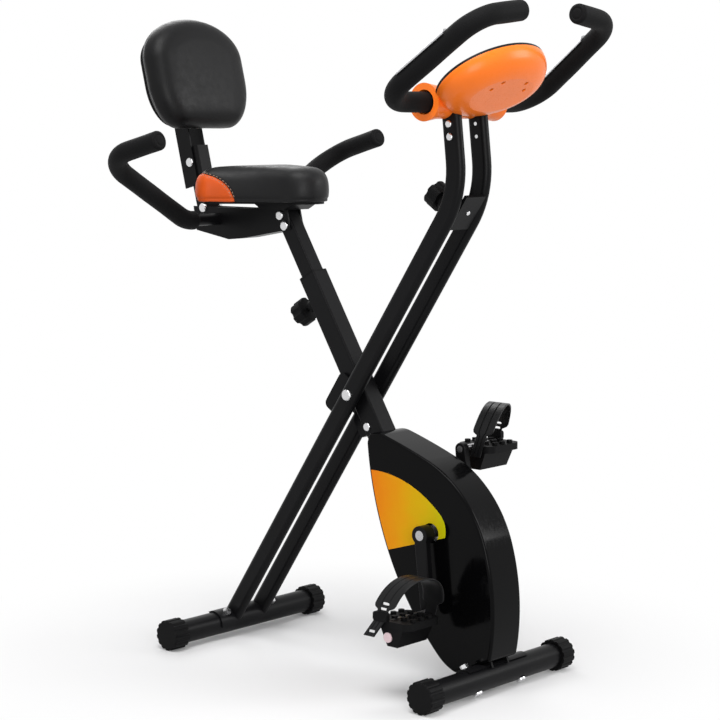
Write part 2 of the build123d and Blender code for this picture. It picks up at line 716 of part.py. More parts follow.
# Drive: flywheel, pulleys, belt and magnetic brake
with BuildPart() as flywheel:
    add(rod(FLYWHEEL, FLY_RADIUS, -FLY_HALF, FLY_HALF))
    for y in (-FLY_HALF, FLY_HALF - FLY_DISH):
        add(ring(FLYWHEEL, FLY_RADIUS - FLY_RIM, FLY_HUB, y, y + FLY_DISH), mode=Mode.SUBTRACT)
    add(rod(FLYWHEEL, FLY_SHAFT, -FLY_HALF, FLY_HALF), mode=Mode.SUBTRACT)

with BuildPart() as flywheel_shaft:
    add(rod(FLYWHEEL, FLY_SHAFT, -FLY_BEARING_IN - FLY_BEARING_WIDTH, PULLEY_OUT))
    add(ring(FLYWHEEL, SMALL_PULLEY, FLY_SHAFT, PULLEY_IN, PULLEY_OUT))

with BuildPart() as crank_pulley:
    add(ring(AXLE, PULLEY_RADIUS, AXLE_RADIUS, PULLEY_IN, PULLEY_OUT))
    with BuildSketch(Plane.XZ.offset(-PULLEY_OUT)):
        with Locations(AXLE):
            with PolarLocations((PULLEY_RADIUS + PULLEY_HUB) / 2, PULLEY_WINDOWS):
                Circle(PULLEY_WINDOW)
    extrude(amount=PULLEY_WIDTH, mode=Mode.SUBTRACT)

with BuildPart() as drive_belt:
    for grow, mode in ((BELT_GAP + BELT, Mode.ADD), (BELT_GAP, Mode.SUBTRACT)):
        with BuildSketch(Plane.XZ.offset(-PULLEY_OUT)):
            with Locations(AXLE):
                Circle(PULLEY_RADIUS + grow)
            with Locations(FLYWHEEL):
                Circle(SMALL_PULLEY + grow)
            make_hull()
        extrude(amount=PULLEY_WIDTH, mode=mode)

MAGNET_FACE = FLY_RADIUS + MAGNET_GAP
MAGNET_BACK = MAGNET_FACE + MAGNET_THICK


def arc_block(inner, outer, start, span, half):
    """Block between two radii round the flywheel, over `span` degrees from `start`."""
    with BuildPart() as piece:
        with BuildSketch(Plane.XZ):
            with BuildLine():
                near_arc = CenterArc(FLYWHEEL, inner, start, span)
                far_arc = CenterArc(FLYWHEEL, outer, start, span)
                Line(near_arc @ 0, far_arc @ 0)
                Line(near_arc @ 1, far_arc @ 1)
            make_face()
        extrude(amount=half, both=True)
    return piece.part


with BuildPart() as magnet_bracket:
    swing = MAGNET_STEP * MAGNETS
    add(arc_block(MAGNET_BACK, MAGNET_BACK + MAGNET_PLATE, MAGNET_FROM, swing, MAGNET_HALF))
    with BuildSketch(Plane.XZ):
        with Locations(MAGNET_HINGE):
            Circle(MAGNET_EYE)
        tail = radians(MAGNET_FROM + 2)
        reach = MAGNET_BACK + MAGNET_PLATE / 2
        with Locations((FLYWHEEL[0] + reach * cos(tail), FLYWHEEL[1] + reach * sin(tail))):
            Circle(MAGNET_PLATE / 2)
        make_hull()
    extrude(amount=MAGNET_HALF, both=True)
    add(rod(MAGNET_HINGE, MAGNET_PIN, -PLATE_OUT, PLATE_OUT))

with BuildPart() as brake_magnets:
    for index in range(MAGNETS):
        start = MAGNET_FROM + index * MAGNET_STEP + (MAGNET_STEP - MAGNET_SPAN) / 2
        add(arc_block(MAGNET_FACE, MAGNET_BACK, start, MAGNET_SPAN, MAGNET_HALF))


# Housing halves, split on the middle plane
def from_axle(points):
    """Places given from the crank axle, as places in the side view."""
    return [(AXLE[0] + x, AXLE[1] + z) for x, z in points]


def arc_chain(points):
    """An arc through the first three points, then tangent arcs to each of the others."""
    arc = ThreePointArc(*points[:3])
    for start, end in zip(points[2:], points[3:]):
        arc = TangentArc(start, end, tangent=arc % 1)


def housing_face(inset):
    """Housing outline in the side view, drawn in by `inset`."""
    rear = from_axle(HOUSING_BACK)
    front = from_axle(HOUSING_FRONT)
    with BuildSketch(Plane.XZ) as face:
        with BuildLine():
            arc_chain(rear)
            Line(rear[-1], front[0])
            arc_chain(front)
            Line(front[-1], rear[0])
        make_face()
        fillet(face.vertices(), HOUSING_CORNER)
        if inset:
            offset(amount=-inset, mode=Mode.REPLACE)
    return face.sketch


def housing_block(inset, half, edge):
    """Near half of the housing's volume, rounded at its outer edge."""
    with BuildPart() as piece:
        extrude(housing_face(inset), amount=half)
        fillet(piece.faces().sort_by(Axis.Y)[0].edges(), edge)
    return piece.part


def cut_housing():
    """Cut the openings for the axle, the main tube and the front saddle in a housing half."""
    add(rod(AXLE, AXLE_HOLE, -HOUSING_HALF - 1, HOUSING_HALF + 1), mode=Mode.SUBTRACT)
    room = TUBE + 2 * HOUSING_ROOM
    section = across(MAIN, -TUBE_BELOW - HOUSING_ROOM)
    add(square_tube(section, TUBE_BELOW, room, 0, TUBE_CORNER), mode=Mode.SUBTRACT)
    cradle = STAB_RADIUS + SADDLE + HOUSING_ROOM
    add(rod((FRONT_X, FOOT_Z), cradle, -HOUSING_HALF - 1, HOUSING_HALF + 1), mode=Mode.SUBTRACT)
    extrude(plate_face(HOUSING_ROOM), amount=PLATE_OUT + HOUSING_ROOM, both=True, mode=Mode.SUBTRACT)


with BuildPart() as housing_right:
    add(housing_block(0, HOUSING_HALF, HOUSING_EDGE))
    hollow = housing_block(HOUSING_WALL, HOUSING_HALF - HOUSING_WALL, HOUSING_EDGE - HOUSING_WALL)
    add(hollow, mode=Mode.SUBTRACT)
    for place in from_axle(HOUSING_SCREWS):
        add(ring(place, BOSS_RADIUS, SCREW_RADIUS, HOUSING_WALL - HOUSING_HALF, 0))
    cut_housing()

with BuildPart() as housing_left:
    add(left_of(housing_right.part))
    for place in from_axle(HOUSING_SCREWS):
        add(rod(place, SCREW_RADIUS, 0, HOUSING_HALF + 1), mode=Mode.SUBTRACT)

with BuildPart() as housing_screws:
    for place in from_axle(HOUSING_SCREWS):
        seat = Plane(origin=(place[0], HOUSING_HALF, place[1]), x_dir=(1, 0, 0), z_dir=(0, -1, 0))
        add(bolt(seat, 2 * HOUSING_HALF - 3 * HOUSING_WALL, SCREW_RADIUS, SCREW_HEAD, SCREW_HEAD_HEIGHT))

with BuildPart() as side_panels:
    with BuildSketch(Plane.XZ.offset(HOUSING_HALF)):
        arc = from_axle(PANEL_ARC)
        foot = from_axle((PANEL_FOOT,))[0]
        with BuildLine():
            arc_chain(arc)
            beyond = 4 * PANEL_EDGE
            Polyline(arc[-1], foot, (foot[0] - beyond, foot[1]), (arc[0][0] - beyond, arc[0][1]), arc[0])
        make_face()
        add(housing_face(PANEL_EDGE).locate(Location()), mode=Mode.INTERSECT)
        with Locations(AXLE):
            Circle(AXLE_HOLE, mode=Mode.SUBTRACT)
    extrude(amount=PANEL)
    mirror(about=Plane.XZ)

# Cranks on their axle
with BuildPart() as crank_axle:
    add(rod(AXLE, AXLE_RADIUS, -CRANK_OUT, CRANK_OUT))


def crank(spindle, y_in, y_out, hub_from, hub_to):
    """Crank arm between two Y faces, with a longer hub at the axle."""
    with BuildPart() as piece:
        with BuildSketch(Plane.XZ.offset(-y_out)):
            with Locations(AXLE):
                Circle(CRANK_ROOT)
            with Locations(spindle):
                Circle(CRANK_EYE)
            make_hull()
        extrude(amount=y_out - y_in)
        edges = piece.faces().filter_by(Axis.Y).edges()
        fillet(edges, CRANK_EDGE)
        add(rod(AXLE, CRANK_HUB, hub_from, hub_to))
        add(rod(AXLE, AXLE_RADIUS, hub_from, hub_to), mode=Mode.SUBTRACT)
        add(rod(spindle, SPINDLE, y_in, y_out), mode=Mode.SUBTRACT)
    return piece.part


with BuildPart() as crank_arms:
    add(crank(NEAR_SPINDLE, -CRANK_OUT, -CRANK_IN, -CRANK_OUT, CRANK_HUB_IN - CRANK_IN))
    add(crank(FAR_SPINDLE, CRANK_IN, CRANK_OUT, CRANK_IN - CRANK_HUB_IN, CRANK_OUT))

SPINDLE_END = PEDAL_OUT - 2 * STRAP_FOOT
STRAP_BLANK = 2 * (PEDAL_WIDTH + STRAP_RISE + STRAP_TAIL)
with BuildPart() as pedal_spindles:
    add(rod(NEAR_SPINDLE, SPINDLE, -SPINDLE_END, -CRANK_IN))
    add(rod(FAR_SPINDLE, SPINDLE, CRANK_IN, SPINDLE_END))


# Pedals hang level, with the heavier keel below the spindle
def pedal_body(spindle, side):
    """Pedal platform with tread studs above a tapered keel."""
    level = Plane(origin=(spindle[0] + PEDAL_SHIFT, side * PEDAL_MID, spindle[1]))
    with BuildPart() as piece:
        with BuildSketch(level.offset(PEDAL_TOP - PEDAL_LIP)):
            RectangleRounded(PEDAL_LENGTH, PEDAL_WIDTH, PEDAL_CORNER)
        extrude(amount=PEDAL_LIP)
        with BuildSketch(level.offset(PEDAL_TOP - PEDAL_LIP)):
            Rectangle(PEDAL_LENGTH - 2 * PEDAL_CORNER, PEDAL_WIDTH - PEDAL_TAPER)
        with BuildSketch(level.offset(-PEDAL_BOTTOM)):
            Rectangle(PEDAL_KEEL, PEDAL_WIDTH - 2 * PEDAL_TAPER)
        loft()
        with BuildSketch(level.offset(PEDAL_TOP)):
            with GridLocations(TREAD_PITCH, TREAD_PITCH, TREAD_ROWS, TREAD_COLUMNS):
                RegularPolygon(TREAD_RADIUS, 6)
        extrude(amount=TREAD)
        bore = sorted((side * PEDAL_IN, side * SPINDLE_END))
        add(rod(spindle, SPINDLE + RUN_GAP, *bore), mode=Mode.SUBTRACT)
    return piece.part


def strap_layer(spindle, side, width):
    """Slanted layer of a strap: inner end forward, outer end back, and top forward."""
    slant = Vector(1, side * STRAP_SKEW, -STRAP_LEAN)
    middle = Plane(origin=(spindle[0] + STRAP_SHIFT, side * PEDAL_MID, spindle[1]), z_dir=slant)
    with BuildPart() as piece:
        with BuildSketch(middle):
            Rectangle(STRAP_BLANK, STRAP_BLANK)
        extrude(amount=width / 2 / slant.length, both=True)
    return piece.part


def strap_band(spindle, side):
    """Layer of a strap that is wide over its neck and narrow under it."""
    neck = Plane(origin=(spindle[0], side * PEDAL_MID, spindle[1] + STRAP_NECK))
    with BuildPart() as piece:
        add(strap_layer(spindle, side, STRAP_WIDTH))
        with BuildSketch(neck):
            Rectangle(STRAP_BLANK, STRAP_BLANK)
        extrude(amount=-STRAP_BLANK, mode=Mode.SUBTRACT)
        add(strap_layer(spindle, side, STRAP_END_WIDTH))
    return piece.part


def pedal_strap(spindle, side):
    """Foot strap arched over the pedal, from its inner side to a flared tail on its outer side."""
    end = Plane(origin=(spindle[0], side * PEDAL_MID, spindle[1]), x_dir=(0, side, 0), z_dir=(side, 0, 0))
    inner = PEDAL_WIDTH / 2
    outer = inner + STRAP
    tail = (outer + STRAP_FLARE, -STRAP_TAIL)
    leg, heel = STRAP_FOOT, -STRAP_HEEL
    with BuildPart() as piece:
        with BuildSketch(end):
            with BuildLine():
                Polyline((-inner, leg), (-inner, heel), (-outer, heel), (-outer, leg))
                Spline((-outer, leg), (0, STRAP_RISE), (outer, leg), tangents=((0, 1), (0, -1)))
                Polyline((outer, leg), tail, (tail[0] - STRAP, tail[1]), (inner, leg))
                Spline((inner, leg), (0, STRAP_RISE - STRAP), (-inner, leg), tangents=((0, 1), (0, -1)))
            make_face()
        extrude(amount=STRAP_BLANK / 2, both=True)
        add(strap_band(spindle, side), mode=Mode.INTERSECT)
        inside = sorted((side * CRANK_OUT, side * PEDAL_MID))
        add(rod(spindle, SPINDLE + STRAP_ROOM, *inside), mode=Mode.SUBTRACT)
    return piece.part


with BuildPart() as pedal_right:
    add(pedal_body(NEAR_SPINDLE, -1))
with BuildPart() as pedal_right_strap:
    add(pedal_strap(NEAR_SPINDLE, -1))
with BuildPart() as pedal_left:
    add(pedal_body(FAR_SPINDLE, 1))
with BuildPart() as pedal_left_strap:
    add(pedal_strap(FAR_SPINDLE, 1))

# Seat post, bracket and the uprights that it joins
POST_BOLTS = [(BRACKET_TOP - PIVOT_Z - drop) / sin(radians(TUBE_ANGLE)) for drop in POST_BOLT_DROPS]
BRACKET_BOLTS = [spot(MAIN, along) for along in POST_BOLTS]
BRACKET_BOLTS += [spot(BACK, along, UPRIGHT_BOLT_FRONT) for along in UPRIGHT_BOLTS]

with BuildPart() as seat_post:
    add(square_tube(across(MAIN, POST_BOTTOM), POST_TOP - POST_BOTTOM, POST, POST_WALL, POST_CORNER))
    for index in range(POST_HOLES):
        at = SEAT_KNOB_AT + (index - POST_HOLES // 2) * POST_PITCH
        with BuildSketch(facing(MAIN, at, -POST / 2, -1)):
            Circle(POST_HOLE)
        extrude(amount=-POST / 2, mode=Mode.SUBTRACT)
    for along in POST_BOLTS:
        add(rod(spot(MAIN, along), M8 + BOLT_GAP, -POST, POST), mode=Mode.SUBTRACT)


def bracket_side(lift, ends):
    """Side outline of the seat bracket, lifted and lengthened for its inside."""
    back = UPRIGHT_X - BRACKET_BACK - ends
    front = POST_AT_BRACKET + BRACKET_FRONT + ends
    low = BRACKET_TOP - BRACKET_DEPTH + lift
    with BuildSketch(Plane.XZ) as face:
        with BuildLine():
            Polyline(
                (back, BRACKET_TOP + 2 * lift), (front, BRACKET_TOP + 2 * lift),
                (front + BRACKET_SLANT, BRACKET_TOP - BRACKET_FRONT_DEPTH + lift),
                (BRACKET_LOW_AT + BRACKET_LOW_LENGTH, low + BRACKET_LOW_RISE),
                (BRACKET_LOW_AT, low),
                (back + BRACKET_SLANT, BRACKET_TOP - BRACKET_BACK_DEPTH + lift), close=True,
            )
        make_face()
    return face.sketch


with BuildPart() as seat_bracket:
    extrude(bracket_side(0, 0), amount=BRACKET_OUT, both=True)
    extrude(bracket_side(BRACKET, 4 * BRACKET), amount=BRACKET_IN, both=True, mode=Mode.SUBTRACT)
    for section, size in ((across(MAIN, POST_BOTTOM), POST), (across(BACK, -2 * UPRIGHT), UPRIGHT)):
        add(square_tube(section, POST_TOP, size + BOLT_GAP, 0, POST_CORNER), mode=Mode.SUBTRACT)
    add(rod((HANDLE_X, HANDLE_Z), HANDLE_RADIUS, -POST, POST), mode=Mode.SUBTRACT)
    for place in BRACKET_BOLTS:
        add(rod(place, M8 + BOLT_GAP, -POST, POST), mode=Mode.SUBTRACT)

SLOT_TOP = BACK_BOLT_AT + BACK_UP
SLOT_BOTTOM = BACK_BOLT_AT - BACK_DOWN
with BuildPart() as backrest_upright:
    length = UPRIGHT_BELOW + UPRIGHT_ABOVE
    add(square_tube(across(BACK, -UPRIGHT_BELOW), length, UPRIGHT, POST_WALL, POST_CORNER))
    with BuildSketch(BACK):
        with Locations(((SLOT_TOP + SLOT_BOTTOM) / 2, -BACK_BOLT_REAR)):
            SlotCenterToCenter(SLOT_TOP - SLOT_BOTTOM, 2 * (M8 + SLIDE_GAP))
    extrude(amount=UPRIGHT, both=True, mode=Mode.SUBTRACT)
    for along in UPRIGHT_BOLTS:
        add(rod(spot(BACK, along, UPRIGHT_BOLT_FRONT), M8 + BOLT_GAP, -UPRIGHT, UPRIGHT), mode=Mode.SUBTRACT)

with BuildPart() as seat_bolts:
    for place in BRACKET_BOLTS:
        seat = side_seat(place, -BRACKET_OUT)
        add(bolt(seat, 2 * BRACKET_OUT, M8, M8_HEAD, M8_HEAD_HEIGHT, M8_NUT, M8_NUT_HEIGHT))


# Seat cushion on its board, over a clamp block on the post
def seat_face(level, inset):
    """Seat outline in plan at a height, drawn in by `inset`."""
    back = SEAT_BACK + inset
    back_half = SEAT_BACK_HALF - SEAT_BACK_DRAW * inset
    wide = SEAT_HALF - inset
    waist_x = SEAT_NOSE - NOSE_DEPTH
    waist = NOSE_HALF - NOSE_DRAW * inset
    nose = SEAT_NOSE - NOSE_DRAW * inset
    side = ((SEAT_WIDE_AT + waist_x) / 2, (wide + waist) / 2 - SEAT_WAIST)
    hip = (back + HIP_ALONG * (SEAT_WIDE_AT - back), back_half + HIP_OUT * (wide - back_half))
    with BuildSketch(Plane.XY.offset(level)) as face:
        with BuildLine():
            ThreePointArc((back + SEAT_BACK_BOW, -back_half), (back, 0), (back + SEAT_BACK_BOW, back_half))
            ThreePointArc((waist_x, waist), (nose, 0), (waist_x, -waist))
            for way in (-1, 1):
                corner = (back + SEAT_BACK_BOW, way * back_half)
                ThreePointArc(corner, (hip[0], way * hip[1]), (SEAT_WIDE_AT, way * wide))
                ThreePointArc((SEAT_WIDE_AT, way * wide), (side[0], way * side[1]), (waist_x, way * waist))
        make_face()
    return face.sketch


with BuildPart() as seat_board:
    extrude(seat_face(SEAT_FLOOR, SEAT_BOARD_INSET), amount=SEAT_BOARD)

with BuildPart() as seat_cushion:
    loft([seat_face(SEAT_FLOOR + rise, inset).faces()[0] for rise, inset in SEAT_LEVELS])
    extrude(seat_face(SEAT_FLOOR, SEAT_BOARD_INSET - SEAT_POCKET), amount=SEAT_BOARD, mode=Mode.SUBTRACT)

with BuildPart() as seat_clamp:
    with BuildSketch(Plane.XZ):
        middle = POST_AT_BRACKET
        with BuildLine():
            Polyline(
                (middle - CLAMP_BASE / 2, BRACKET_TOP), (middle + CLAMP_BASE / 2, BRACKET_TOP),
                (middle + CLAMP_TOP / 2, SEAT_FLOOR), (middle - CLAMP_TOP / 2, SEAT_FLOOR), close=True,
            )
        make_face()
    extrude(amount=CLAMP_HALF, both=True)
    length = POST_TOP - POST_BOTTOM
    add(square_tube(across(MAIN, POST_BOTTOM), length, POST, 0, POST_CORNER), mode=Mode.SUBTRACT)

# Seat handles: one bent tube through the bracket, foam on its outer ends
HANDLE_POINTS = [
    (HANDLE_X, HANDLE_BASE_HALF, HANDLE_Z),
    (HANDLE_X + HANDLE_SHIFT, HANDLE_OUT, HANDLE_Z + HANDLE_RISE),
    (
        HANDLE_X + HANDLE_SHIFT + HANDLE_FORWARD,
        HANDLE_OUT - HANDLE_TIP_IN,
        HANDLE_Z + HANDLE_RISE + HANDLE_TIP_RISE,
    ),
]


def near(points):
    """The same points on the near side."""
    return [(x, -y, z) for x, y, z in points]


def grip_end(tip, before, radius):
    """Closed end of a foam grip, past the tube's end."""
    way = Vector(*tip) - Vector(*before)
    with BuildPart() as piece:
        with BuildSketch(Plane(origin=tip, z_dir=way)):
            Circle(radius)
        extrude(amount=GRIP_END)
        fillet(piece.faces().sort_by(Axis(tip, way))[-1].edges(), GRIP_END * 0.75)
    return piece.part


def foam_grip(points, bend, radius, bore):
    """Foam sleeve along a bent tube, closed over its tip."""
    with BuildPart() as piece:
        add(bent_tube(points, bend, radius, bore))
        add(grip_end(points[-1], points[-2], radius))
    return piece.part


with BuildPart() as seat_handle:
    route = near(HANDLE_POINTS)[::-1] + HANDLE_POINTS
    add(bent_tube(route, HANDLE_BEND, HANDLE_RADIUS, HANDLE_RADIUS - HANDLE_WALL))

foam_points = [(HANDLE_X, HANDLE_BARE, HANDLE_Z)] + HANDLE_POINTS
with BuildPart() as seat_grips:
    add(both_sides(foam_grip(foam_points, HANDLE_BEND, HANDLE_RADIUS + FOAM, HANDLE_RADIUS)))

# Back rest: two bars straddle the upright and carry the board and pad on their upper lips
BACK_BOLT = spot(BACK, BACK_BOLT_AT, -BACK_BOLT_REAR)
with BuildPart() as backrest_bars:
    with BuildSketch(across(BACK, BAR_FROM)):
        with Locations((-BAR_IN - BAR / 2, BAR_DEPTH / 2 - BAR_FRONT)):
            Rectangle(BAR, BAR_DEPTH)
    extrude(amount=BAR_TO - BAR_FROM)
    with BuildSketch(across(BACK, LIP_FROM)):
        with Locations((-BAR_IN - BAR + BAR_LIP / 2, BAR / 2 - BAR_FRONT)):
            Rectangle(BAR_LIP, BAR)
    extrude(amount=BAR_TO - LIP_FROM)
    add(rod(BACK_BOLT, M8 + BOLT_GAP, -2 * UPRIGHT, 0), mode=Mode.SUBTRACT)
    mirror(about=Plane.XZ)

with BuildPart() as backrest_bolt:
    seat = side_seat(BACK_BOLT, -BAR_IN - BAR)
    add(bolt(seat, 2 * (BAR_IN + BAR), M8, M8_HEAD, M8_HEAD_HEIGHT, M8_NUT, M8_NUT_HEIGHT))


def pad_face(out, inset):
    """Back rest outline, `out` in front of the bars, drawn in by `inset`."""
    at = BACK.from_local_coords((PAD_FROM, BAR_FRONT + out, 0))
    half, foot = PAD_HALF - inset, PAD_FOOT_HALF - inset / 2
    neck = PAD_HEIGHT - PAD_SHOULDER
    with BuildSketch(Plane(origin=at, x_dir=(0, 1, 0), z_dir=BACK.y_dir)) as face:
        with BuildLine():
            EllipticalCenterArc((0, neck), half, PAD_SHOULDER - inset, 0, arc_size=180)
            Line((-half, neck), (-half, PAD_HIP))
            EllipticalCenterArc((-foot, PAD_HIP), half - foot, PAD_HIP - inset, 180, arc_size=90)
            Line((-foot, inset), (foot, inset))
            EllipticalCenterArc((foot, PAD_HIP), half - foot, PAD_HIP - inset, 270, arc_size=90)
            Line((half, PAD_HIP), (half, neck))
        make_face()
    return face.sketch


with BuildPart() as backrest_board:
    extrude(pad_face(0, BOARD_INSET), amount=BOARD)

with BuildPart() as backrest_pad:
    loft([pad_face(BOARD + out, inset).faces()[0] for out, inset in PAD_LEVELS])


# Rails: a pair of bent flat-oval tubes that straddle the main tube
def rail(y):
    """One rail at the given Y: coped onto the rear saddle, bored for the pivot and the stem bolts."""
    points = [RAIL.from_local_coords((-RAIL_FOOT, 0, -y)), RAIL.from_local_coords((RAIL_BEND_AT, 0, -y))]
    points.append(UPPER.from_local_coords((RAIL_TOP, 0, -y)))
    edge = (y - RAIL_WIDTH, y + RAIL_WIDTH)
    with BuildPart() as piece:
        with BuildLine() as route:
            FilletPolyline(*points, radius=RAIL_BEND_RADIUS)
        with BuildSketch(across(RAIL, -RAIL_FOOT, y)):
            SlotOverall(RAIL_DEPTH, RAIL_WIDTH, rotation=90)
            wall = 2 * RAIL_WALL
            SlotOverall(RAIL_DEPTH - wall, RAIL_WIDTH - wall, rotation=90, mode=Mode.SUBTRACT)
        sweep(path=route.wires()[0])
        add(rod((REAR_X, FOOT_Z), STAB_RADIUS + SADDLE, *edge), mode=Mode.SUBTRACT)
        add(rod((PIVOT_X, PIVOT_Z), PIVOT_BOLT, *edge), mode=Mode.SUBTRACT)
        for drop in STEM_BOLTS:
            add(rod(spot(UPPER, RAIL_TOP - drop), M6 + BOLT_GAP, *edge), mode=Mode.SUBTRACT)
    return piece.part


with BuildPart() as rail_right:
    add(rail(-RAIL_Y))
with BuildPart() as rail_left:
    add(rail(RAIL_Y))

with BuildPart() as pivot_bolt:
    seat = side_seat((PIVOT_X, PIVOT_Z), -RAIL_OUT)
    add(bolt(seat, 2 * RAIL_OUT, PIVOT_BOLT, PIVOT_HEAD, PIVOT_HEAD_HEIGHT, PIVOT_NUT, M8_NUT_HEIGHT))

# Stop bracket: cheeks inside the rails and a web that meets the main tube's back when unfolded
with BuildPart() as stop_bracket:
    with BuildSketch(RAIL) as cheek_face:
        with BuildLine():
            low = -RAIL_WIDTH / 2
            Polyline(
                (STOP_TOP, low), (STOP_TOP, STOP_DEPTH),
                (STOP_BOTTOM, STOP_DEPTH), (STOP_BOTTOM, low), close=True,
            )
        make_face()
        fillet(cheek_face.vertices().group_by(Axis.Y)[-1], STOP_ROUND / 2)
    extrude(amount=RAIL_IN, both=True)
    with BuildSketch(RAIL):
        with Locations(((STOP_TOP + STOP_BOTTOM) / 2, 0)):
            Rectangle(2 * (STOP_TOP - STOP_BOTTOM), 2 * (STOP_DEPTH - CHEEK))
    extrude(amount=RAIL_IN - CHEEK, both=True, mode=Mode.SUBTRACT)
    passage = TUBE + 2 * SLIDE_GAP
    add(square_tube(across(MAIN, 0), TUBE_ABOVE, passage, 0, SLIDE_GAP), mode=Mode.SUBTRACT)
    add(rod((PIVOT_X, PIVOT_Z), PIVOT_BOLT, -RAIL_IN, RAIL_IN), mode=Mode.SUBTRACT)

# Tension control between the rails at their bend
KNOB_SEAT = TENSION_FACE - KNOB_DEPTH - SLIDE_GAP
with BuildPart() as tension_bracket:
    with BuildSketch(RAIL):
        middle = (TENSION_PLATE_FROM + TENSION_PLATE_TO) / 2
        with Locations((middle, TENSION_PLATE / 2 - TENSION_PLATE_FRONT)):
            Rectangle(TENSION_PLATE_TO - TENSION_PLATE_FROM, TENSION_PLATE)
    extrude(amount=RAIL_IN, both=True)
    with BuildSketch(facing(RAIL, TENSION_AT, TENSION_PLATE - TENSION_PLATE_FRONT, 1)):
        Circle(TENSION_BOSS)
    extrude(amount=KNOB_SEAT - TENSION_PLATE + TENSION_PLATE_FRONT)
    with BuildSketch(facing(RAIL, TENSION_AT, KNOB_SEAT, -1)):
        Circle(KNOB_SHAFT + RUN_GAP)
    extrude(amount=KNOB_SHAFT_LENGTH + 1, mode=Mode.SUBTRACT)
    with BuildSketch(facing(RAIL, TENSION_SCREW_AT, -TENSION_PLATE_FRONT, 1)):
        Circle(SCREW_RADIUS)
    extrude(amount=TENSION_PLATE, mode=Mode.SUBTRACT)

with BuildPart() as tension_knob:
    add(knob(facing(RAIL, TENSION_AT, TENSION_FACE, 1), KNOB_SHAFT, KNOB_SHAFT_LENGTH))

with BuildPart() as seat_pin_knob:
    length = SEAT_KNOB_FACE - KNOB_DEPTH - POST / 2 - SLIDE_GAP
    add(knob(facing(MAIN, SEAT_KNOB_AT, -SEAT_KNOB_FACE, -1), PIN_RADIUS, length))

# Handlebar on two stems inside the rails
BAR_POINTS = [
    (BAR_AXIS[0], BAR_HALF, BAR_AXIS[1]),
    (BAR_AXIS[0] + BAR_FORWARD, BAR_UPPER_HALF, BAR_AXIS[1] + BAR_UP),
    (BAR_AXIS[0] + BAR_FORWARD + TIP_FORWARD, TIP_HALF, BAR_AXIS[1] + BAR_UP + TIP_UP),
]
with BuildPart() as handlebar:
    add(bent_tube(near(BAR_POINTS)[::-1] + BAR_POINTS, BAR_BEND, BAR_RADIUS, BAR_RADIUS - BAR_WALL))

grip_points = [(BAR_AXIS[0], GRIP_FROM, BAR_AXIS[1])] + BAR_POINTS
with BuildPart() as handlebar_grips:
    add(both_sides(foam_grip(grip_points, BAR_BEND, GRIP_RADIUS, BAR_RADIUS)))

with BuildPart() as pulse_plates:
    low, high = Vector(*BAR_POINTS[0]), Vector(*BAR_POINTS[1])
    way = (high - low).normalized()
    top_side = Vector(-1, 0, 1) - way * Vector(-1, 0, 1).dot(way)
    edge = GRIP_RADIUS * cos(radians(PULSE_SPREAD))
    start = (low + high) / 2 - way * (PULSE_LENGTH / 2)
    with BuildSketch(Plane(origin=start, x_dir=top_side, z_dir=way)):
        Circle(GRIP_RADIUS + PULSE)
        Circle(GRIP_RADIUS, mode=Mode.SUBTRACT)
        with Locations((edge, 0)):
            Rectangle(GRIP_RADIUS, 3 * GRIP_RADIUS, align=(Align.MIN, Align.CENTER), mode=Mode.INTERSECT)
    extrude(amount=PULSE_LENGTH)
    mirror(about=Plane.XZ)

STEM_TOP = RAIL_TOP + BAR_RISE
with BuildPart() as handlebar_stems:
    inside = 2 * (RAIL_WALL + STEM_GAP)
    section = across(UPPER, RAIL_TOP - STEM_LENGTH, -RAIL_Y)
    add(slot_bar(section, STEM_TOP - RAIL_TOP + STEM_LENGTH, RAIL_DEPTH - inside, RAIL_WIDTH - inside))
    add(rod(BAR_AXIS, BAR_RADIUS, -RAIL_OUT, 0), mode=Mode.SUBTRACT)
    for drop in STEM_BOLTS:
        add(rod(spot(UPPER, RAIL_TOP - drop), M6 + BOLT_GAP, -RAIL_OUT, 0), mode=Mode.SUBTRACT)
    mirror(about=Plane.XZ)

with BuildPart() as rail_bolts:
    add(stab_bolts(REAR_X, RAIL_ANGLE))
    for drop in STEM_BOLTS:
        seat = side_seat(spot(UPPER, RAIL_TOP - drop), -RAIL_OUT)
        add(both_sides(bolt(seat, RAIL_WIDTH, M6, M6_HEAD, M6_HEAD_HEIGHT)))
    seat = facing(RAIL, TENSION_SCREW_AT, -TENSION_PLATE_FRONT, 1)
    add(bolt(seat, TENSION_PLATE, SCREW_RADIUS, SCREW_HEAD, SCREW_HEAD_HEIGHT))


# Console: a domed shell under the display, with a flared collar round the handlebar
def console_face(out, inset):
    """Console outline, `out` from the handlebar axis towards the face, drawn in by `inset`."""
    with BuildSketch(CONSOLE.offset(out)) as face:
        with Locations((CONSOLE_AT, 0)):
            Ellipse(CONSOLE_LENGTH - inset, CONSOLE_HALF - inset)
    return face.sketch


def console_bowl(wall):
    """Volume of the dome, `wall` in from its outside."""
    floor = wall - CONSOLE_DEPTH
    levels = [(max(CONSOLE_RIM + out, floor), inset + wall) for out, inset in CONSOLE_LEVELS]
    with BuildPart() as piece:
        loft([console_face(out, inset).faces()[0] for out, inset in levels])
    return piece.part


def collar():
    """Collar round the handlebar, flared at both ends."""
    with BuildPart() as piece:
        add(rod(BAR_AXIS, COLLAR_RADIUS, -COLLAR_NECK, COLLAR_NECK))
        for side in (-1, 1):
            with BuildPart() as flare:
                for y, radius in ((COLLAR_NECK, COLLAR_RADIUS), (COLLAR_HALF, COLLAR_FLARE)):
                    with BuildSketch(Plane(origin=(0, side * y, 0), x_dir=(1, 0, 0), z_dir=(0, -1, 0))):
                        with Locations(BAR_AXIS):
                            Circle(radius)
                loft()
            add(flare.part)
    return piece.part


